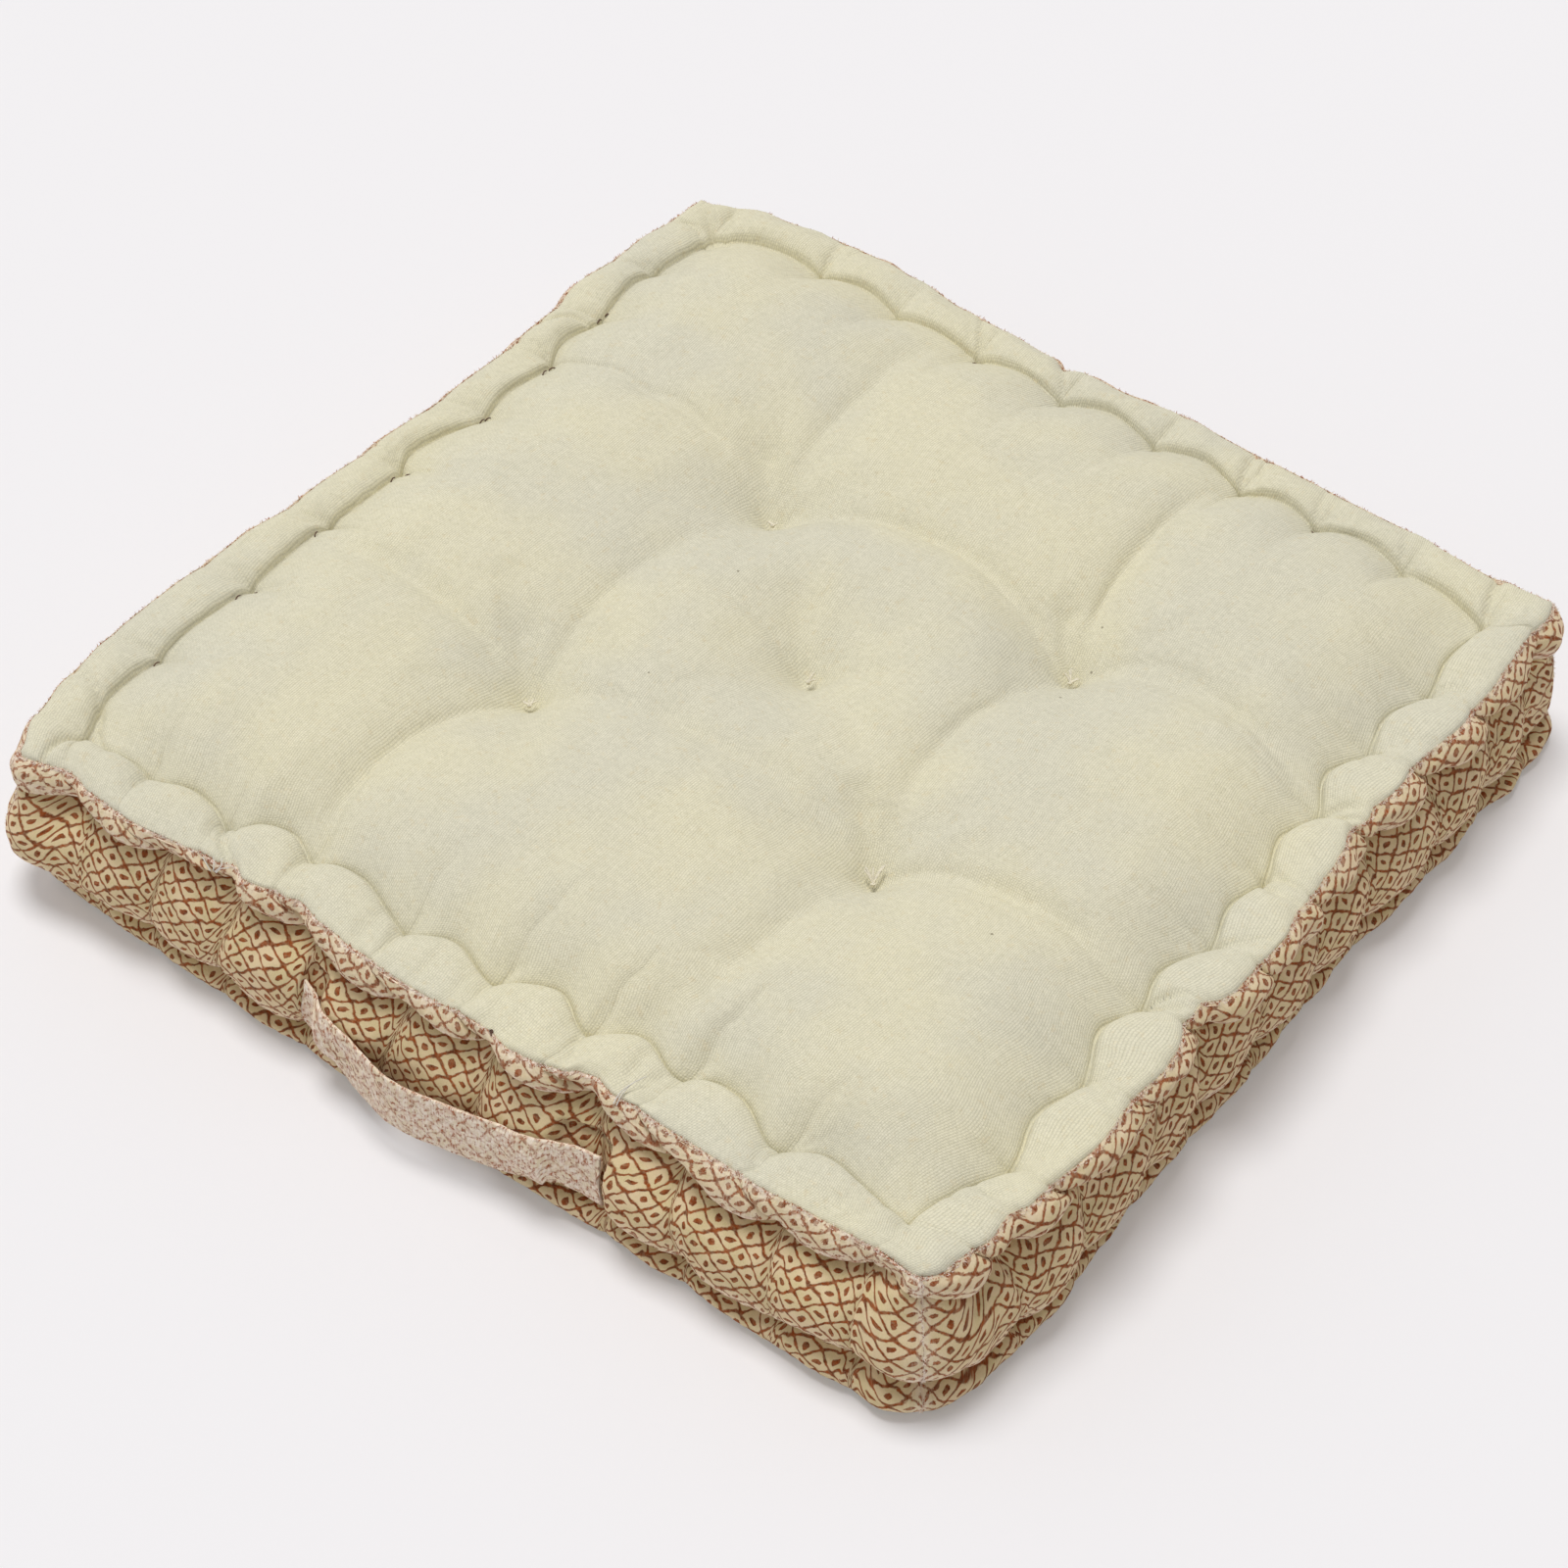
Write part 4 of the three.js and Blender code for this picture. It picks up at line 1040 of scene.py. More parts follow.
def flat_places(points, steps, along):
    """Flat place of each point of a strip: along the side, and down the cloth from the seam.

    Between two stitches the cloth is spread by its own length, so it crowds at the pinches.
    """
    flat = np.diff(points, axis=0)
    tangent = np.gradient(points, axis=1)
    tangent[..., 2] = 0
    tangent /= np.maximum(np.linalg.norm(tangent, axis=-1, keepdims=True), 1e-9)
    middle = (tangent[1:] + tangent[:-1]) / 2
    flat = flat - middle * (flat * middle).sum(-1, keepdims=True)
    down = np.concatenate([np.zeros((1, points.shape[1])), np.cumsum(np.linalg.norm(flat, axis=-1), 0)])
    run = np.linalg.norm(np.diff(points, axis=1), axis=-1)
    between = (steps[1:] + steps[:-1]) / 2
    to_stitch = np.abs(between - np.round(between))
    run = run * (1 + GATHER * np.exp(-to_stitch / GATHER_REACH))
    length = np.concatenate([np.zeros((len(points), 1)), np.cumsum(run, 1)], 1)
    at_stitch = np.searchsorted(steps, np.arange(LAST + 1) - 1e-6)
    spread = [np.interp(row, row[at_stitch], places[at_stitch]) for row, places in zip(length, along)]
    return np.stack([np.array(spread), down * PRINT_STRETCH], -1)


# Materials


class Recipe:
    """Builds the nodes of a material, or of the world, from plain calls."""

    def __init__(self, owner, shader="Principled BSDF"):
        owner.use_nodes = True
        self.owner = owner
        self.tree = owner.node_tree
        self.shader = self.tree.nodes[shader]

    def node(self, kind, inputs=(), **settings):
        made = self.tree.nodes.new(kind)
        for key, value in settings.items():
            setattr(made, key, value)
        for key, value in dict(inputs).items():
            self.feed(made.inputs[key], value)
        return made

    def feed(self, socket, value):
        if isinstance(value, bpy.types.NodeSocket):
            self.tree.links.new(value, socket)
        else:
            socket.default_value = value

    def finish(self, values):
        """Set or link the shader's own sockets."""
        for key, value in values.items():
            self.feed(self.shader.inputs[key], value)
        return self.owner

    def math(self, operation, *values, clamp=False):
        inputs = dict(enumerate(values))
        return self.node("ShaderNodeMath", inputs, operation=operation, use_clamp=clamp).outputs[0]

    def plus(self, a, b):
        return self.math("ADD", a, b)

    def minus(self, a, b):
        return self.math("SUBTRACT", a, b)

    def times(self, a, b, clamp=False):
        return self.math("MULTIPLY", a, b, clamp=clamp)

    def vector(self, operation, a, b):
        return self.node("ShaderNodeVectorMath", {0: a, 1: b}, operation=operation).outputs["Vector"]

    def scaled(self, value, by):
        made = self.node("ShaderNodeVectorMath", {0: value, "Scale": by}, operation="SCALE")
        return made.outputs["Vector"]

    def stretched(self, at, x, y):
        return self.node("ShaderNodeMapping", {"Vector": at, "Scale": (x, y, 1)}).outputs[0]

    def split(self, value):
        return self.node("ShaderNodeSeparateXYZ", {0: value}).outputs

    def pair(self, x, y):
        return self.node("ShaderNodeCombineXYZ", {0: x, 1: y}).outputs[0]

    def noise(self, at, scale, detail=2.0, roughness=0.5, output="Fac"):
        inputs = {"Vector": at, "Scale": scale, "Detail": detail, "Roughness": roughness}
        return self.node("ShaderNodeTexNoise", inputs).outputs[output]

    def ramp(self, value, low, high, a=0.0, b=1.0, smooth=True):
        inputs = {"Value": value, "From Min": low, "From Max": high, "To Min": a, "To Max": b}
        kind = "SMOOTHSTEP" if smooth else "LINEAR"
        return self.node("ShaderNodeMapRange", inputs, interpolation_type=kind).outputs[0]

    def mix(self, share, a, b, blend="MIX"):
        inputs = {0: share, 6: a, 7: b}
        return self.node("ShaderNodeMix", inputs, data_type="RGBA", blend_type=blend).outputs[2]

    def bump(self, height, distance, strength=1.0, onto=None):
        inputs = {"Height": height, "Distance": distance, "Strength": strength}
        if onto is not None:
            inputs["Normal"] = onto
        return self.node("ShaderNodeBump", inputs).outputs[0]


def linear(red, green, blue):
    """A colour picked on screen, 0 to 255, as the shader's linear one."""

    def one(value):
        value /= 255
        return value / 12.92 if value <= 0.04045 else ((value + 0.055) / 1.055) ** 2.4

    return (one(red), one(green), one(blue), 1.0)


def canvas_material(props):
    """Plain-woven canvas: closer threads one way, heathered flecks, soft yellow and grey areas."""
    r = Recipe(bpy.data.materials.new("sage_canvas"))
    cloth = r.node("ShaderNodeUVMap", uv_map="Cloth").outputs[0]
    place_on = r.node("ShaderNodeTexCoord").outputs["Object"]

    # Threads that cross, wandering a little, and long slubs in both
    x, y, _ = r.split(cloth)
    wander = r.times(r.minus(r.noise(cloth, 0.05, 2), 0.5), 3.0)
    warp = r.math("SINE", r.times(r.plus(x, wander), math.pi / (props.thread_pitch * WARP_SHARE)))
    weft = r.math("SINE", r.times(r.plus(y, wander), math.pi / (props.thread_pitch * WEFT_SHARE)))
    over = r.times(warp, weft)
    weave = r.plus(r.times(r.math("ABSOLUTE", warp), 0.5), 0.04)
    weave = r.plus(weave, r.times(r.math("ABSOLUTE", weft), 0.3))
    weave = r.plus(weave, r.times(over, 0.2))
    slub_x = r.noise(r.stretched(cloth, 1.4, 0.045), 1.0, 2)
    slub_y = r.noise(r.stretched(cloth, 0.045, 1.4), 1.0, 2)
    heather = r.plus(slub_x, slub_y)
    tangle = r.noise(place_on, 1500.0, 2, 0.6)
    weave = r.plus(weave, r.times(r.minus(tangle, 0.5), 0.7))

    # Colour: soft areas, pale slubs, grey flecks and straw, darker in the gaps of the weave
    drift = r.noise(place_on, 9.0, 3)
    colour = r.mix(r.ramp(drift, 0.35, 0.65), props.canvas_cool[:], props.canvas_warm[:])
    pale = r.ramp(heather, 0.82, 1.22)
    colour = r.mix(r.times(pale, 0.35), colour, props.canvas_pale[:])
    grey = r.ramp(r.noise(place_on, 620.0, 2, 0.6), 0.56, 0.74)
    colour = r.mix(r.times(grey, 0.3), colour, props.canvas_fleck[:])
    straw = r.ramp(r.noise(place_on, 210.0, 3, 0.65), 0.56, 0.72)
    colour = r.mix(r.times(straw, 0.3), colour, props.canvas_straw[:])
    mottle = r.ramp(r.noise(place_on, 330.0, 3, 0.6), 0.3, 0.7, 0.955, 1.035)
    gap = r.times(r.ramp(weave, 0.2, 0.8, 0.8, 1.03), mottle)
    shade = r.node("ShaderNodeCombineColor", {0: gap, 1: gap, 2: gap}).outputs[0]
    colour = r.mix(1.0, colour, shade, "MULTIPLY")

    # Rare dark specks
    speck = r.node("ShaderNodeTexVoronoi", {"Vector": place_on, "Scale": 26.0})
    rare = r.math("LESS_THAN", r.noise(place_on, 11.0, 1), 0.40)
    dot = r.times(r.math("LESS_THAN", speck.outputs["Distance"], 0.022), rare)
    colour = r.mix(r.times(dot, 0.6), colour, linear(96, 84, 62))

    fine = r.bump(r.plus(weave, r.times(heather, 0.5)), 0.00022, 0.8)
    return r.finish({
        "Base Color": colour,
        "Roughness": 0.92,
        "Specular IOR Level": 0.2,
        "Sheen Weight": 0.12,
        "Sheen Roughness": 0.5,
        "Normal": r.bump(r.noise(place_on, 55.0, 3), 0.0009, 0.35, fine),
    })


def velvet_material(props):
    """Short-pile velvet block-printed with a trellis of diamonds, a seed in each.

    The print lies on the cloth's flat places. A point attribute says where the pile is rubbed up and where a
    sheen is painted on crests that face down: there it is pale, and the print breaks into flakes.
    """
    r = Recipe(bpy.data.materials.new("trellis_velvet"))
    cloth = r.node("ShaderNodeUVMap", uv_map="Cloth").outputs[0]
    # rubbed-up pile, and painted sheen on crests that face down, as given by the border and the strap
    brushed = r.node("ShaderNodeAttribute", attribute_name="brushed").outputs["Fac"]
    uneven = r.ramp(r.noise(cloth, 0.09, 3), 0.3, 0.7, 0.55, 1.25)
    brushed = r.times(brushed, uneven, clamp=True)
    flakes = r.node("ShaderNodeTexVoronoi", {"Vector": cloth, "Scale": 0.36}).outputs
    fine_pile = r.noise(r.stretched(cloth, 2.6, 0.7), 1.0, 3)

    # The cloth's places, shaken by the printing, the weave and the flakes, then turned into cells
    drawn = cloth
    for scale, amount, detail in ((0.055, 5.5, 2), (0.2, 2.4, 2), (1.8, 0.5, 1)):
        away = r.vector("SUBTRACT", r.noise(cloth, scale, detail, output="Color"), (0.5, 0.5, 0.5))
        drawn = r.vector("ADD", drawn, r.scaled(away, amount))
    shaken = r.vector("SUBTRACT", flakes["Color"], (0.5, 0.5, 0.5))
    drawn = r.vector("ADD", drawn, r.scaled(shaken, r.times(brushed, 3.4)))
    turned = r.node("ShaderNodeMapping", {"Vector": drawn, "Rotation": (0, 0, math.radians(45))})
    cell_x, cell_y, _ = r.split(r.scaled(turned.outputs[0], 1 / props.diamond))
    i, j = r.math("FLOOR", cell_x), r.math("FLOOR", cell_y)
    fx = r.minus(r.math("FRACT", cell_x), 0.5)
    fy = r.minus(r.math("FRACT", cell_y), 0.5)

    # Lines, thicker where they cross, so that the diamonds have rounded corners
    edge_x = r.minus(0.5, r.math("ABSOLUTE", fx))
    edge_y = r.minus(0.5, r.math("ABSOLUTE", fy))
    edge = r.math("SMOOTH_MIN", edge_x, edge_y, 0.16)
    half = r.ramp(r.noise(cloth, 0.13, 2), 0.3, 0.7, 0.05, 0.09, smooth=False)
    line = r.minus(1.0, r.ramp(r.minus(edge, half), -0.03, 0.035))

    # A seed in each diamond: upright in every other one, leaning in the rest
    jumble = r.node("ShaderNodeTexWhiteNoise", {"Vector": r.pair(i, j)}, noise_dimensions="2D")
    chance_lean, chance_length, _ = r.split(jumble.outputs["Color"])
    odd = r.math("ABSOLUTE", r.math("MODULO", r.plus(i, j), 2.0))
    lean = r.plus(r.times(odd, math.radians(-52)), math.radians(37))
    lean = r.plus(lean, r.times(r.minus(chance_lean, 0.5), 0.5))
    spin = r.node(
        "ShaderNodeVectorRotate", {"Vector": r.pair(fx, fy), "Angle": lean}, rotation_type="Z_AXIS"
    )
    seed_x, seed_y, _ = r.split(spin.outputs[0])
    along = r.math("ABSOLUTE", seed_x)
    beside = r.math("ABSOLUTE", seed_y)
    length = r.ramp(chance_length, 0.0, 1.0, 0.23, 0.31, smooth=False)
    share = r.math("DIVIDE", along, length)
    width = r.times(r.minus(1.0, r.times(share, share)), 0.15)
    seed = r.minus(1.0, r.ramp(r.minus(beside, width), -0.02, 0.02))
    seed = r.times(seed, r.math("LESS_THAN", along, length))

    # Ink, worn a little all over, and lost in streaks and in the middle of the pile's flakes where the pile
    # is rubbed up and where sheen is painted
    ink = r.math("MAXIMUM", line, seed)
    ink = r.times(ink, r.ramp(r.noise(cloth, 0.5, 3, 0.7), 0.3, 0.6, 0.8, 1.0))
    combed = r.noise(r.stretched(cloth, 0.95, 0.17), 1.0, 3)
    streak = r.math("MAXIMUM", r.ramp(fine_pile, 0.5, 0.66), r.ramp(combed, 0.46, 0.58))
    clump = r.ramp(flakes["Distance"], 0.22, 0.6, 1.0, 0.0)
    streak = r.math("MAXIMUM", streak, r.times(clump, r.ramp(brushed, 0.45, 0.8)))
    lost = r.times(r.times(brushed, streak), 0.85)
    ink = r.times(ink, r.minus(1.0, lost), clamp=True)

    # Colours of the ground and the print, and painted shade where the pile parts at the edges of its flakes
    tone = r.ramp(r.noise(cloth, 0.07, 3), 0.35, 0.68)
    ground = r.mix(tone, props.velvet_green[:], props.velvet_cream[:])
    ground = r.mix(r.ramp(fine_pile, 0.3, 0.7, 0.0, 0.35), ground, props.velvet_light[:])
    # ground made pale where the pile is rubbed up and where sheen is painted
    rubbed = r.times(brushed, r.ramp(combed, 0.38, 0.6, 0.55, 1.0), clamp=True)
    ground = r.mix(rubbed, ground, props.velvet_rubbed_and_sheen[:])
    ink_tone = r.ramp(r.noise(cloth, 0.3, 3), 0.3, 0.7)
    ink_colour = r.mix(ink_tone, props.ink_dark[:], props.ink_light[:])
    # print paler and warmer where the pile is rubbed up and where sheen is painted
    ink_colour = r.mix(r.times(brushed, 0.55), ink_colour, props.ink_rubbed_sheen_and_shade[:])
    colour = r.mix(ink, ground, ink_colour)
    # painted shade: the edges of the pile's flakes are darkened towards the rust colour, where the print also
    # shows
    parted_shade = r.times(r.ramp(flakes["Distance"], 0.45, 0.8), r.ramp(brushed, 0.5, 0.85))
    colour = r.mix(r.times(parted_shade, 0.3), colour, props.ink_rubbed_sheen_and_shade[:])

    pile = r.bump(fine_pile, 0.0005, 0.8)
    return r.finish({
        "Base Color": colour,
        "Roughness": 0.88,
        "Specular IOR Level": 0.08,
        "Sheen Weight": r.times(r.minus(1.05, ink), 0.42),
        "Sheen Roughness": 0.4,
        "Sheen Tint": linear(255, 226, 202),
        "Normal": r.bump(r.times(flakes["Distance"], brushed), 0.0011, 0.9, pile),
    })


def spun_colour(r, place_on, colour, grain, low, high):
    """The colour of thread or pile, darker in places."""
    dark = tuple(c * 0.8 for c in colour[:3]) + (1.0,)
    return r.mix(r.ramp(r.noise(place_on, grain, 2), low, high), dark, colour)


def thread_material(name, colour):
    """Twisted cotton thread."""
    r = Recipe(bpy.data.materials.new(name))
    place_on = r.node("ShaderNodeTexCoord").outputs["Object"]
    twist = r.node("ShaderNodeTexWave", {"Vector": place_on, "Scale": 700.0, "Distortion": 2.0})
    return r.finish({
        "Base Color": spun_colour(r, place_on, colour, 900.0, 0.35, 0.7),
        "Roughness": 0.8,
        "Sheen Weight": 0.3,
        "Normal": r.bump(twist.outputs["Fac"], 0.0002, 0.6),
    })


def pile_material(name, colour):
    """Loose pile of the velvet: matt, and uneven from tuft to tuft."""
    r = Recipe(bpy.data.materials.new(name))
    place_on = r.node("ShaderNodeTexCoord").outputs["Object"]
    return r.finish({
        "Base Color": spun_colour(r, place_on, colour, 400.0, 0.3, 0.6),
        "Roughness": 0.95,
        "Specular IOR Level": 0.05,
    })


def materials(props):
    """The cushion's materials by name, each made once."""
    known = bpy.data.materials
    if "sage_canvas" not in known:
        canvas_material(props)
        velvet_material(props)
        thread_material("cream_thread", linear(250, 243, 222))
        thread_material("white_thread", linear(240, 236, 226))
        thread_material("brown_thread", linear(96, 60, 40))
        pile_material("pale_pile", linear(252, 240, 228))
        pile_material("rust_pile", linear(186, 116, 82))
    return known


# Settings


def cloth_colour(name, description, red, green, blue):
    """A colour setting whose default is given as picked on screen."""
    return FloatVectorProperty(
        name=name, description=description, subtype="COLOR", size=4, min=0, max=1,
        default=linear(red, green, blue),
    )


class CushionSettings(bpy.types.PropertyGroup):
    """Sizes and colours of the cloth."""

    thread_pitch: FloatProperty(
        name="Thread pitch", description="Mean distance between the canvas's threads in mm", default=1.15,
        min=0.5,
    )
    diamond: FloatProperty(
        name="Diamond", description="Side of a diamond of the velvet's print in mm", default=10.4, min=4,
    )
    canvas_warm: cloth_colour("Canvas, warm", "Yellower areas of the canvas", 225, 220, 192)
    canvas_cool: cloth_colour("Canvas, cool", "Greyer areas of the canvas", 217, 214, 194)
    canvas_pale: cloth_colour("Canvas, pale threads", "Pale slubs of the canvas", 238, 233, 212)
    canvas_fleck: cloth_colour("Canvas, flecks", "Grey-green flecks of the canvas", 186, 184, 158)
    canvas_straw: cloth_colour("Canvas, straw", "Straw-coloured flecks of the canvas", 216, 199, 160)
    velvet_green: cloth_colour("Velvet, green", "Recesses of the velvet's ground", 211, 194, 142)
    velvet_cream: cloth_colour("Velvet, cream", "Flat areas of the velvet's ground", 225, 204, 161)
    velvet_light: cloth_colour("Velvet, light", "Pile that catches the light", 244, 217, 188)
    # pale pile: rubbed up, and painted sheen on crests that face down
    velvet_rubbed_and_sheen: cloth_colour("Velvet, brushed", "Pile that is rubbed up", 255, 243, 228)
    ink_dark: cloth_colour("Print, dark", "Full colour of the print", 104, 44, 12)
    # the print where the pile is rubbed up and where sheen is painted, and the painted shade at the edges of
    # the pile's flakes
    ink_rubbed_sheen_and_shade: cloth_colour("Print, rubbed", "The print where the pile is rubbed up", 184, 112, 78)
    ink_light: cloth_colour("Print, light", "Thin colour of the print", 158, 78, 32)


class StageSettings(bpy.types.PropertyGroup):
    """Camera, light and floor."""

    azimuth: FloatProperty(
        name="Azimuth", description="Camera's turn from the front, in degrees", default=37.04,
    )
    elevation: FloatProperty(
        name="Elevation", description="Camera's angle over the floor, in degrees", default=45.10,
    )
    distance: FloatProperty(
        name="Distance", description="Camera to the aimed point", default=2.512, unit="LENGTH",
        subtype="DISTANCE",
    )
    lens: FloatProperty(name="Lens", description="Focal length in mm", default=108.0)
    key: FloatProperty(name="Key light", description="Strength of the key light", default=2.0)
    room: FloatProperty(
        name="Room light", description="Strength of the light from all round", default=0.42,
    )


# Pieces


def joined(bm, parts):
    """Add the mesh of each part to a bmesh, and free the part."""
    held = bpy.data.meshes.new("held")
    for part in parts:
        part.to_mesh(held)
        part.free()
        bm.from_mesh(held)
    bpy.data.meshes.remove(held)


def set_attribute(piece, name, values):
    layer = piece.data.attributes.new(name, "FLOAT", "POINT")
    layer.data.foreach_set("value", np.asarray(values, np.float32))


def thicken(piece, thickness):
    """Give a sheet its thickness inwards, with its cut edges left sharp."""
    shell = piece.modifiers.new("thickness", "SOLIDIFY")
    shell.thickness = thickness * MM
    shell.offset = -1
    bpy.context.view_layer.update()
    made = bpy.data.meshes.new_from_object(piece.evaluated_get(bpy.context.evaluated_depsgraph_get()))
    piece.modifiers.clear()
    thin = piece.data
    made.name = thin.name
    piece.data = made
    bpy.data.meshes.remove(thin)
    made.set_sharp_from_angle(angle=math.radians(CUT_EDGE_ANGLE))


def wall_rings(top):
    """Rings from the rim of the face down behind the border and round under it to the base's flat."""
    _, rows, sides = border_ring(STEPS_PER_STITCH)
    ring = np.concatenate([points[:, :-1] for points, _, _ in sides], 1)
    behind = ring - ring_normals(ring) * (VELVET + WALL_GAP)
    rim = np.concatenate([top[0, :-1], top[:-1, -1], top[-1, :0:-1], top[:0:-1, 0]])
    keep = [k for k, row in enumerate(rows) if row >= 1 and (k % 3 == 0 or row in (*GROOVES, BASE_ROW))]
    walls = [rim, *behind[keep]]
    base, middle = walls[-1], np.array([*CENTRE, 0])
    for inwards, height in BASE_RINGS:
        loop = middle + (base - middle) * (1 - inwards / HALF_SIDE)
        loop[:, 2] = height
        walls.append(loop)
    return np.array(walls)


def base_flat(ring, last):
    """The flat of the base, between the four sides of a ring, with a hollow under each tuft."""
    front, right = ring[: last + 1], ring[last : 2 * last + 1]
    back = ring[2 * last : 3 * last + 1][::-1]
    left = np.concatenate([ring[3 * last :], ring[:1]])[::-1]
    pick = np.unique(np.append(np.arange(0, last + 1, 4), last))
    u, v = np.meshgrid(pick / last, pick / last)
    u, v = u[..., None], v[..., None]
    flat = (
        lerp(front[pick][None], back[pick][None], v)
        + lerp(left[pick][:, None], right[pick][:, None], u)
        - lerp(lerp(front[0], front[-1], u), lerp(back[0], back[-1], u), v)
    )
    flat[..., 2] = 0
    for _, tx, ty, _, lift in TUFTS:
        away = np.hypot(flat[..., 0] - CENTRE[0] - tx, flat[..., 1] - CENTRE[1] - ty)
        flat[..., 2] += lift * np.clip(1 - away / BASE_TUFT, 0, 1) ** 1.3
    return flat


class CUSHION_OT_canvas(bpy.types.Operator):
    """Make the filled cushion: canvas faces, edge roll, walls behind the border, and base"""

    bl_idname = "cushion.canvas"
    bl_label = "Filled cushion"

    def execute(self, context):
        props = context.scene.cushion_settings
        top, across, up = face_grid()
        _, _, sx, sy = square_place(across, up)
        bm, _ = shaped_grid(top, np.stack([sx, sy], -1))
        walls = wall_rings(top)
        closed = np.concatenate([walls, walls[:, :1]], 1)
        row, column = np.indices(closed.shape[:2])
        flat = base_flat(walls[-1], len(top) - 1)
        parts = ((closed, np.stack([column, row], -1)), (flat, flat[..., :2]))
        joined(bm, (shaped_grid(points, uv)[0] for points, uv in parts))
        bmesh.ops.remove_doubles(bm, verts=bm.verts, dist=2e-5)
        open_edges = [e for e in bm.edges if e.is_boundary]
        if open_edges:
            bmesh.ops.holes_fill(bm, edges=open_edges, sides=0)
        bmesh.ops.recalc_face_normals(bm, faces=bm.faces)
        piece = as_object(bm, "canvas_cushion", materials(props)["sage_canvas"])
        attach(piece, "root")
        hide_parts("filled_cushion")
        return {"FINISHED"}


def rubbed_pile_and_sheen(side, facing_down, step, row, along):
    """How far the pile is rubbed up on the roll, along the top seam and at the corners, with a painted sheen
    on crests that face down.
    """
    # painted sheen: pile on the crests of the roll and the wall that faces down is made paler
    hanging = smoothstep(facing_down, -0.25, 0.5) * (0.4 + 0.6 * fullness(step))
    painted_crest_sheen = hanging * (bell(row, 2.8, 1.1) + 0.95 * bell(row, 7.9, 0.9))
    seam = np.exp(-np.maximum(row, 0) / 0.5)
    roll = side["rubbed"] * (1 - smoothstep(row, 2.6, 3.8))
    corner = np.exp(-(HALF_SIDE - np.abs(along)) / 2.6)
    at_seam = (0.5 + 1.7 * side["rubbed"]) * seam
    return np.clip(0.05 + roll + 0.62 * painted_crest_sheen + at_seam + 0.6 * corner, 0, 1)


class CUSHION_OT_border(bpy.types.Operator):
    """Make the four strips of the printed velvet border"""

    bl_idname = "cushion.border"
    bl_label = "Velvet border"

    def execute(self, context):
        props = context.scene.cushion_settings
        steps, rows, sides = border_ring(BORDER_STEPS)
        ring = np.concatenate([points[:, :-1] for points, _, _ in sides], 1)
        normals = ring_normals(ring)
        step, row = np.meshgrid(steps, rows)
        count = len(steps) - 1
        for index, (side, (points, along, _)) in enumerate(zip(SIDES, sides)):
            uv = flat_places(points, steps, along)
            uv[..., 0] += index * PRINT_SHIFT
            columns = np.arange(index * count, (index + 1) * count + 1) % ring.shape[1]
            strip = points.copy()
            for end, inner in ((0, 1), (-1, -2)):
                strip[:, end] += (strip[:, inner] - strip[:, end]) * CORNER_GAP
            brushed = rubbed_pile_and_sheen(side, -normals[:, columns, 2], step, row, along)[::-1]
            bm, order = shaped_grid(strip[::-1], uv[::-1])
            piece = as_object(bm, f"velvet_{side['name']}", materials(props)["trellis_velvet"])
            set_attribute(piece, "brushed", [brushed[r, c] for r, c in order])
            thicken(piece, VELVET)
            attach(piece, "root")
            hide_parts(f"border_{side['name']}")
        return {"FINISHED"}


def strap_points():
    """The strap as a flattened tube: rings along it, each round its rounded section."""
    s = STRAP
    _, _, sides = border_ring(BORDER_STEPS)
    points, along, down = sides[0]
    reach = CENTRE[1] - HALF_SIDE - points[..., 1]

    def stands(x, depth):
        """How far the border stands out near a place on it."""
        near = (along > x - 5) & (along < x + 5) & (down > depth - 5) & (down < depth + 5)
        return np.percentile(reach[near], 75)

    place_along = lerp(s["left"], s["right"], np.linspace(0, 1, STRAP_RINGS))
    angles = np.linspace(0, 2 * math.pi, STRAP_ROUND + 1)[:-1]
    cos, sin = np.cos(angles), np.sin(angles)
    rise = np.sign(cos) * np.abs(cos) ** 0.8 / 2
    bulge = (1 + np.sign(sin) * np.abs(sin) ** 0.45) * s["thickness"] / 2
    rings = []
    for x in place_along:
        top = float(curved(s["at"], s["upper"], x))
        wide = float(eased(s["at"], s["wide"], x))
        free = float(curved(s["at"], s["out"], x))
        free += 1.6 * float(smoothstep(x, s["fold"] - 1.5, s["fold"] + 1.5))
        row = []
        for lift, thick in zip(rise, bulge):
            deep = top + wide * (0.5 - lift)
            out = max(free, 0.4 + stands(x, deep)) + thick
            row.append((CENTRE[0] + x, CENTRE[1] - HALF_SIDE - out, SEAM_HEIGHT - deep))
        rings.append(row)
    rings = np.array(rings)
    for _ in range(4):
        rings[1:-1, :, 1] = (rings[:-2, :, 1] + 2 * rings[1:-1, :, 1] + rings[2:, :, 1]) / 4
    return rings, place_along, angles


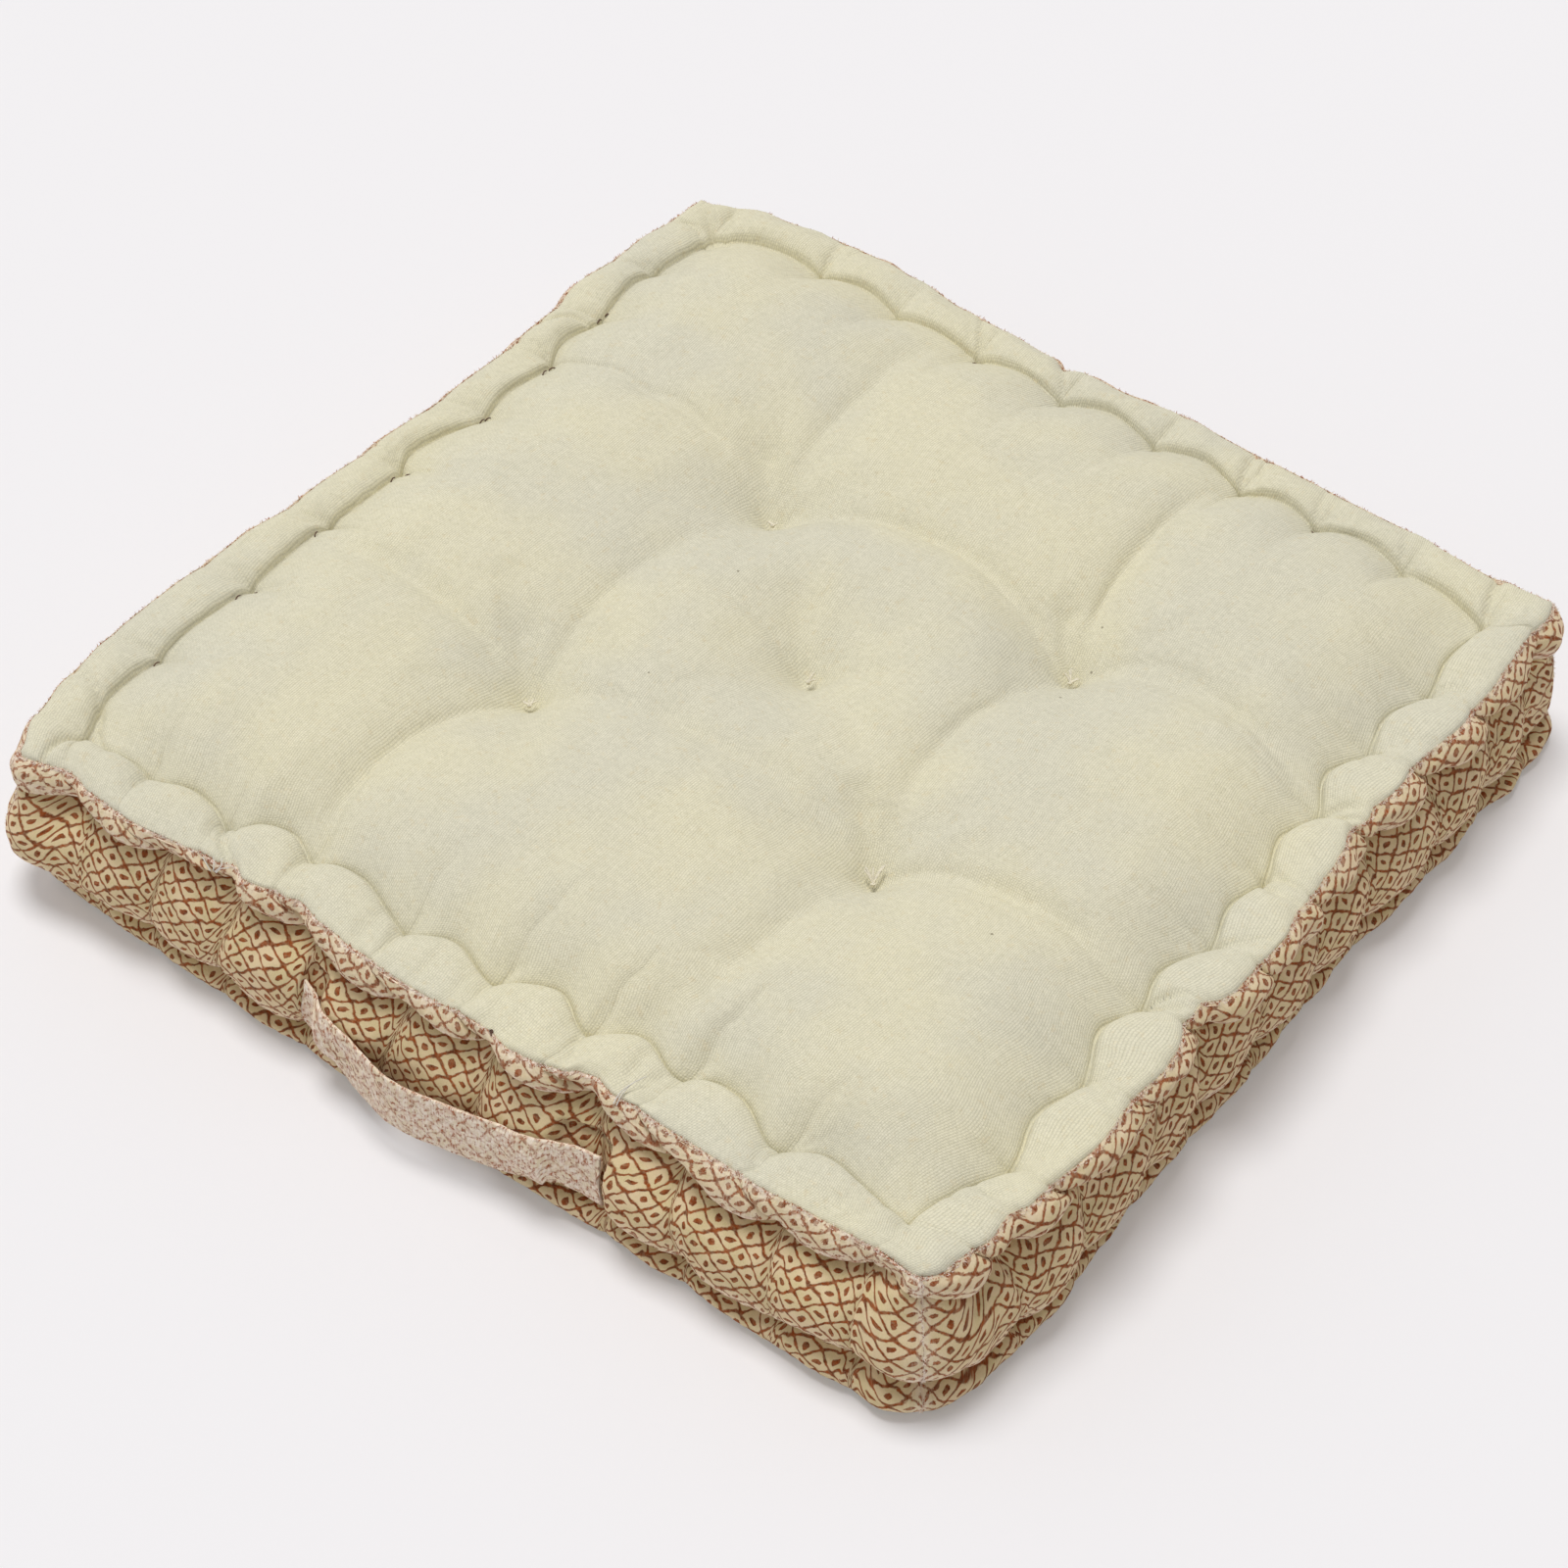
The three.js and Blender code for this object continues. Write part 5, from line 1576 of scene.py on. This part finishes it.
class CUSHION_OT_strap(bpy.types.Operator):
    """Make the carry strap on the front side"""

    bl_idname = "cushion.strap"
    bl_label = "Carry strap"

    def execute(self, context):
        props = context.scene.cushion_settings
        rings, along, angles = strap_points()
        a, b = np.meshgrid(along, angles, indexing="ij")
        lumps = 0.55 * unevenness(a, b * 12, 9, 71) + 0.45 * unevenness(a, b * 12, 22, 72)
        outer = np.sin(b) > 0
        rings[..., 1] -= np.where(outer, 0.35 * lumps, 0)
        rings[..., 2] += 0.5 * unevenness(a, b * 0, 24, 73)
        closed = np.concatenate([rings, rings[:, :1]], 1)
        width = np.concatenate([[0], np.cumsum(np.linalg.norm(np.diff(closed[0], axis=0), axis=-1))])
        uv = np.stack(np.broadcast_arrays(along[:, None] + STRAP_PRINT, width[None, :]), -1)
        bm, _ = shaped_grid(closed, uv)
        bmesh.ops.remove_doubles(bm, verts=bm.verts, dist=1e-6)
        ends = [e for e in bm.edges if e.is_boundary]
        bmesh.ops.holes_fill(bm, edges=ends, sides=0)
        bmesh.ops.recalc_face_normals(bm, faces=bm.faces)
        piece = as_object(bm, "strap_velvet", materials(props)["trellis_velvet"])
        # the whole strap's pile is pale: rubbed up, with a painted sheen
        set_attribute(piece, "brushed", np.full(len(piece.data.vertices), 1.0))
        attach(piece, "root")
        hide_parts("carry_handle")
        return {"FINISHED"}


def strand(bm, points, radii, sides=6):
    """A thread along points, as a circle extruded from point to point."""
    points = [Vector(p) * MM for p in points]
    before = None
    for k, point in enumerate(points):
        ahead = points[min(k + 1, len(points) - 1)] - points[max(k - 1, 0)]
        turn = ahead.to_track_quat("Z", "Y").to_matrix().to_4x4()
        here = Matrix.Translation(point) @ turn @ Matrix.Scale(radii[k] * MM, 4)
        if before is None:
            ring = bmesh.ops.create_circle(bm, cap_ends=True, radius=1, segments=sides, matrix=here)["verts"]
            edges = list(dict.fromkeys(e for v in ring for e in v.link_edges))
        else:
            grown = bmesh.ops.extrude_edge_only(bm, edges=edges)["geom"]
            ring = [g for g in grown if isinstance(g, bmesh.types.BMVert)]
            edges = [g for g in grown if isinstance(g, bmesh.types.BMEdge)]
            bmesh.ops.transform(bm, matrix=here @ before.inverted(), verts=ring)
        before = here
    bmesh.ops.holes_fill(bm, edges=edges, sides=0)


class CUSHION_OT_ties(bpy.types.Operator):
    """Make the knotted thread ties of the five tufts"""

    bl_idname = "cushion.ties"
    bl_label = "Tuft ties"

    def execute(self, context):
        props = context.scene.cushion_settings
        places = {name: (x, y) for name, x, y, _, _ in TUFTS}
        for index, (name, ends) in enumerate(TIES):
            x, y = places[name]
            z = SEAM_HEIGHT + float(puff(np.array(x, float), np.array(y, float), False)) + KNOT_SEAT
            knot = Vector((CENTRE[0] + x, CENTRE[1] + y, z))
            dice = np.random.RandomState(90 + index)
            bm = bmesh.new()
            for loop in range(3):
                tilt = Matrix.Rotation(0.5 + loop * 1.1, 3, "X") @ Matrix.Rotation(loop * 1.9, 3, "Y")
                ring = [
                    knot + tilt @ Vector((KNOT * math.cos(t), KNOT * math.sin(t), 0.25 * math.sin(2 * t)))
                    for t in np.linspace(0, 1.9 * math.pi, 14)
                ]
                strand(bm, ring, [KNOT / 2] * len(ring))
            for turn, rise, length in ends:
                for ply in range(2):
                    way = math.radians(turn + dice.uniform(-7, 7) + ply * 9)
                    up = math.radians(rise)
                    bend = dice.uniform(-0.12, 0.12)
                    line = []
                    for t in np.linspace(0, 1, 7):
                        run = t * length * (1 - 0.1 * ply)
                        flat, heading = run * math.cos(up), way + bend * t
                        height = run * math.sin(up) * (1 - 0.35 * t)
                        reach = (flat * math.cos(heading), flat * math.sin(heading), height)
                        line.append(knot + Vector(reach))
                    strand(bm, line, np.linspace(*TIE_RADII, len(line)))
            bmesh.ops.recalc_face_normals(bm, faces=bm.faces)
            piece = as_object(bm, f"tie_{name}", materials(props)["cream_thread"])
            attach(piece, "root")
            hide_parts(f"tuft_tie_{name}")
        return {"FINISHED"}


def unit(vector):
    return vector / np.linalg.norm(vector)


def pile_places(sides, dice):
    """Roots, ways and tones of the pile along the seams of the sides."""
    roots, ways, tones = [], [], []
    middle = np.array([*CENTRE, 0])

    def somewhere(line):
        """A place on a line of points: the one before it, and the share of the way to the next."""
        at = dice.uniform(0, len(line) - 1.001)
        return int(at), at % 1

    for points, _, _ in sides:
        # along the top seam, on the velvet's curled edge
        seam = points[2:6]
        run = np.linalg.norm(np.diff(seam[2], axis=0), axis=1).sum()
        for _ in range(int(run * SEAM_PILE)):
            i, share = somewhere(seam[0])
            row = dice.randint(0, 4)
            roots.append(lerp(seam[row, i], seam[row, i + 1], share))
            tangent = unit(seam[row, i + 1] - seam[row, i])
            outward = np.array([tangent[1], -tangent[0], 0])
            way = outward * dice.uniform(-1, 0.8) + [0, 0, dice.uniform(0.15, 0.6)]
            ways.append(unit(way + tangent * dice.uniform(-1, 1)))
            tones.append(dice.uniform())
        # down the corner seam
        corner = points[3:, 0]
        for _ in range(CORNER_PILE):
            i, share = somewhere(corner)
            root = lerp(corner[i], corner[i + 1], share)
            outward = unit((root - middle) * [1, 1, 0])
            across = np.array([outward[1], -outward[0], 0])
            way = outward * dice.uniform(0.3, 1) + across * dice.uniform(-0.9, 0.9)
            roots.append(root - outward * 0.3)
            ways.append(unit(way + [0, 0, dice.uniform(-0.6, 0.6)]))
            tones.append(dice.uniform() ** 2 * 0.7)
    return np.array(roots), np.array(ways), np.array(tones)


def pile_tufts(name, material, roots, ways, lengths, radius):
    """A joined mesh of short pile tufts: roots and unit ways in millimetres, one tapered tuft each."""

    def batch(first):
        part = bmesh.new()
        here = slice(first, first + PILE_BATCH)
        for root, way, length in zip(roots[here], ways[here], lengths[here]):
            turn = Vector(way).to_track_quat("Z", "Y").to_matrix().to_4x4()
            middle = Matrix.Translation((Vector(root) + Vector(way) * length / 2) * MM)
            bmesh.ops.create_cone(
                part, cap_ends=True, segments=3, radius1=radius * MM, radius2=radius * 0.35 * MM,
                depth=length * MM, matrix=middle @ turn,
            )
        return part

    bm = bmesh.new()
    joined(bm, (batch(first) for first in range(0, len(roots), PILE_BATCH)))
    bmesh.ops.recalc_face_normals(bm, faces=bm.faces)
    return as_object(bm, name, material, smooth=False)


class CUSHION_OT_sewing(bpy.types.Operator):
    """Make the pile along the seams, the stitches in the groove and the loose thread ends"""

    bl_idname = "cushion.sewing"
    bl_label = "Seam pile and threads"

    def execute(self, context):
        known = materials(context.scene.cushion_settings)
        dice = np.random.RandomState(17)
        _, _, sides = border_ring(BORDER_STEPS)
        roots, ways, tones = pile_places(sides, dice)
        lengths = dice.uniform(0.8, 1.9, len(roots))
        for tone, pick in (("pale", tones < RUST_TONE), ("rust", tones >= RUST_TONE)):
            piece = pile_tufts(
                f"seam_pile_{tone}", known[f"{tone}_pile"], roots[pick], ways[pick], lengths[pick], 0.3
            )
            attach(piece, "root")

        # Stitches that show in the groove
        bm = bmesh.new()
        for x, y, turn in GROOVE_STITCHES:
            z = surface_at(x, y)
            way = Vector((math.cos(math.radians(turn)), math.sin(math.radians(turn)), 0))
            middle = Vector((CENTRE[0] + x, CENTRE[1] + y, z + 0.5))
            line = [middle + way * t * 2.2 + Vector((0, 0, 1.1 * (1 - t * t))) for t in np.linspace(-1, 1, 6)]
            strand(bm, line, [STITCH_RADIUS] * len(line))
        bmesh.ops.recalc_face_normals(bm, faces=bm.faces)
        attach(as_object(bm, "groove_stitches", known["brown_thread"]), "root")

        # Loose ends at the front seam
        for name, material, lines, radius in LOOSE_ENDS:
            bm = bmesh.new()
            for line in lines:
                places = np.array(line, float)
                knots = np.arange(len(places))
                t = np.linspace(0, knots[-1], 6 * len(places))
                smooth = np.stack([curved(knots, places[:, k], t) for k in range(3)], -1)
                smooth[:, :2] += CENTRE
                smooth[:, 2] += SEAM_HEIGHT
                strand(bm, smooth, np.linspace(radius, radius * 0.6, len(t)), 5)
            bmesh.ops.recalc_face_normals(bm, faces=bm.faces)
            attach(as_object(bm, name, known[material]), "root")
        return {"FINISHED"}


def room_light(strength):
    """Light from all round: stronger from -X, and warmer towards +X."""
    r = Recipe(bpy.data.worlds.new("room"), "Background")
    across, _, _ = r.split(r.node("ShaderNodeTexCoord").outputs["Generated"])
    warmth = r.ramp(across, -0.2, 1, smooth=False)
    fall = r.ramp(across, -1, 1, 1.35, 0.66, smooth=False)
    return r.finish({
        "Color": r.mix(warmth, (1.0, 0.995, 0.99, 1), (1.0, 0.925, 0.855, 1)),
        "Strength": r.times(fall, strength),
    })


class CUSHION_OT_stage(bpy.types.Operator):
    """Set the floor, the light and the camera"""

    bl_idname = "cushion.stage"
    bl_label = "Stage"

    def execute(self, context):
        scene = context.scene
        props = scene.stage_settings
        bm = bmesh.new()
        bmesh.ops.create_grid(bm, x_segments=1, y_segments=1, size=12)
        pale = Recipe(bpy.data.materials.new("pale_floor")).finish({
            "Base Color": (0.706, 0.701, 0.73, 1),
            "Emission Color": (1, 1, 1, 1),
            "Emission Strength": 0.15,
            "Roughness": 0.9,
            "Specular IOR Level": 0.1,
        })
        floor = as_object(bm, "floor", pale)
        scene.world = room_light(props.room)

        light = bpy.data.lights.new("key", "SUN")
        light.energy = props.key
        light.angle = math.radians(LIGHT_WIDTH)
        light.color = (1.0, 0.985, 0.96)
        key = bpy.data.objects.new("key", light)
        key.rotation_euler = Vector(LIGHT_WAY).to_track_quat("Z", "Y").to_euler()
        scene.collection.objects.link(key)

        camera = bpy.data.objects.new("camera", bpy.data.cameras.new("camera"))
        camera.data.lens = props.lens
        camera.data.sensor_width = 36
        camera.data.clip_end = 50
        turn, tilt = math.radians(props.azimuth), math.radians(props.elevation)
        back = Vector((math.sin(turn) * math.cos(tilt), -math.cos(turn) * math.cos(tilt), math.sin(tilt)))
        camera.location = Vector((*AIM, SEAM_HEIGHT * MM)) + back * props.distance
        camera.rotation_euler = back.to_track_quat("Z", "Y").to_euler()
        scene.collection.objects.link(camera)
        scene.camera = camera
        scene.view_settings.view_transform = "Standard"
        return {"FINISHED"}


class CUSHION_PT_panel(bpy.types.Panel):
    """The cushion's settings and pieces"""

    bl_idname = "CUSHION_PT_panel"
    bl_label = "Square cushion"
    bl_space_type = "VIEW_3D"
    bl_region_type = "UI"
    bl_category = "Cushion"

    def draw(self, context):
        for group in (context.scene.cushion_settings, context.scene.stage_settings):
            box = self.layout.box()
            for name in group.__annotations__:
                box.prop(group, name)
        for operator in OPERATORS:
            self.layout.operator(operator.bl_idname)


OPERATORS = (
    CUSHION_OT_canvas,
    CUSHION_OT_border,
    CUSHION_OT_strap,
    CUSHION_OT_ties,
    CUSHION_OT_sewing,
    CUSHION_OT_stage,
)
CLASSES = (CushionSettings, StageSettings, *OPERATORS, CUSHION_PT_panel)


def register():
    for each in CLASSES:
        bpy.utils.register_class(each)
    bpy.types.Scene.cushion_settings = bpy.props.PointerProperty(type=CushionSettings)
    bpy.types.Scene.stage_settings = bpy.props.PointerProperty(type=StageSettings)


def unregister():
    del bpy.types.Scene.stage_settings
    del bpy.types.Scene.cushion_settings
    for each in reversed(CLASSES):
        bpy.utils.unregister_class(each)


def main():
    """Make the pieces and the stage."""
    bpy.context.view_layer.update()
    register()
    bpy.ops.cushion.canvas()
    bpy.ops.cushion.border()
    bpy.ops.cushion.strap()
    bpy.ops.cushion.ties()
    bpy.ops.cushion.sewing()
    bpy.ops.cushion.stage()
    bpy.context.view_layer.update()


if __name__ == "__main__":
    main()
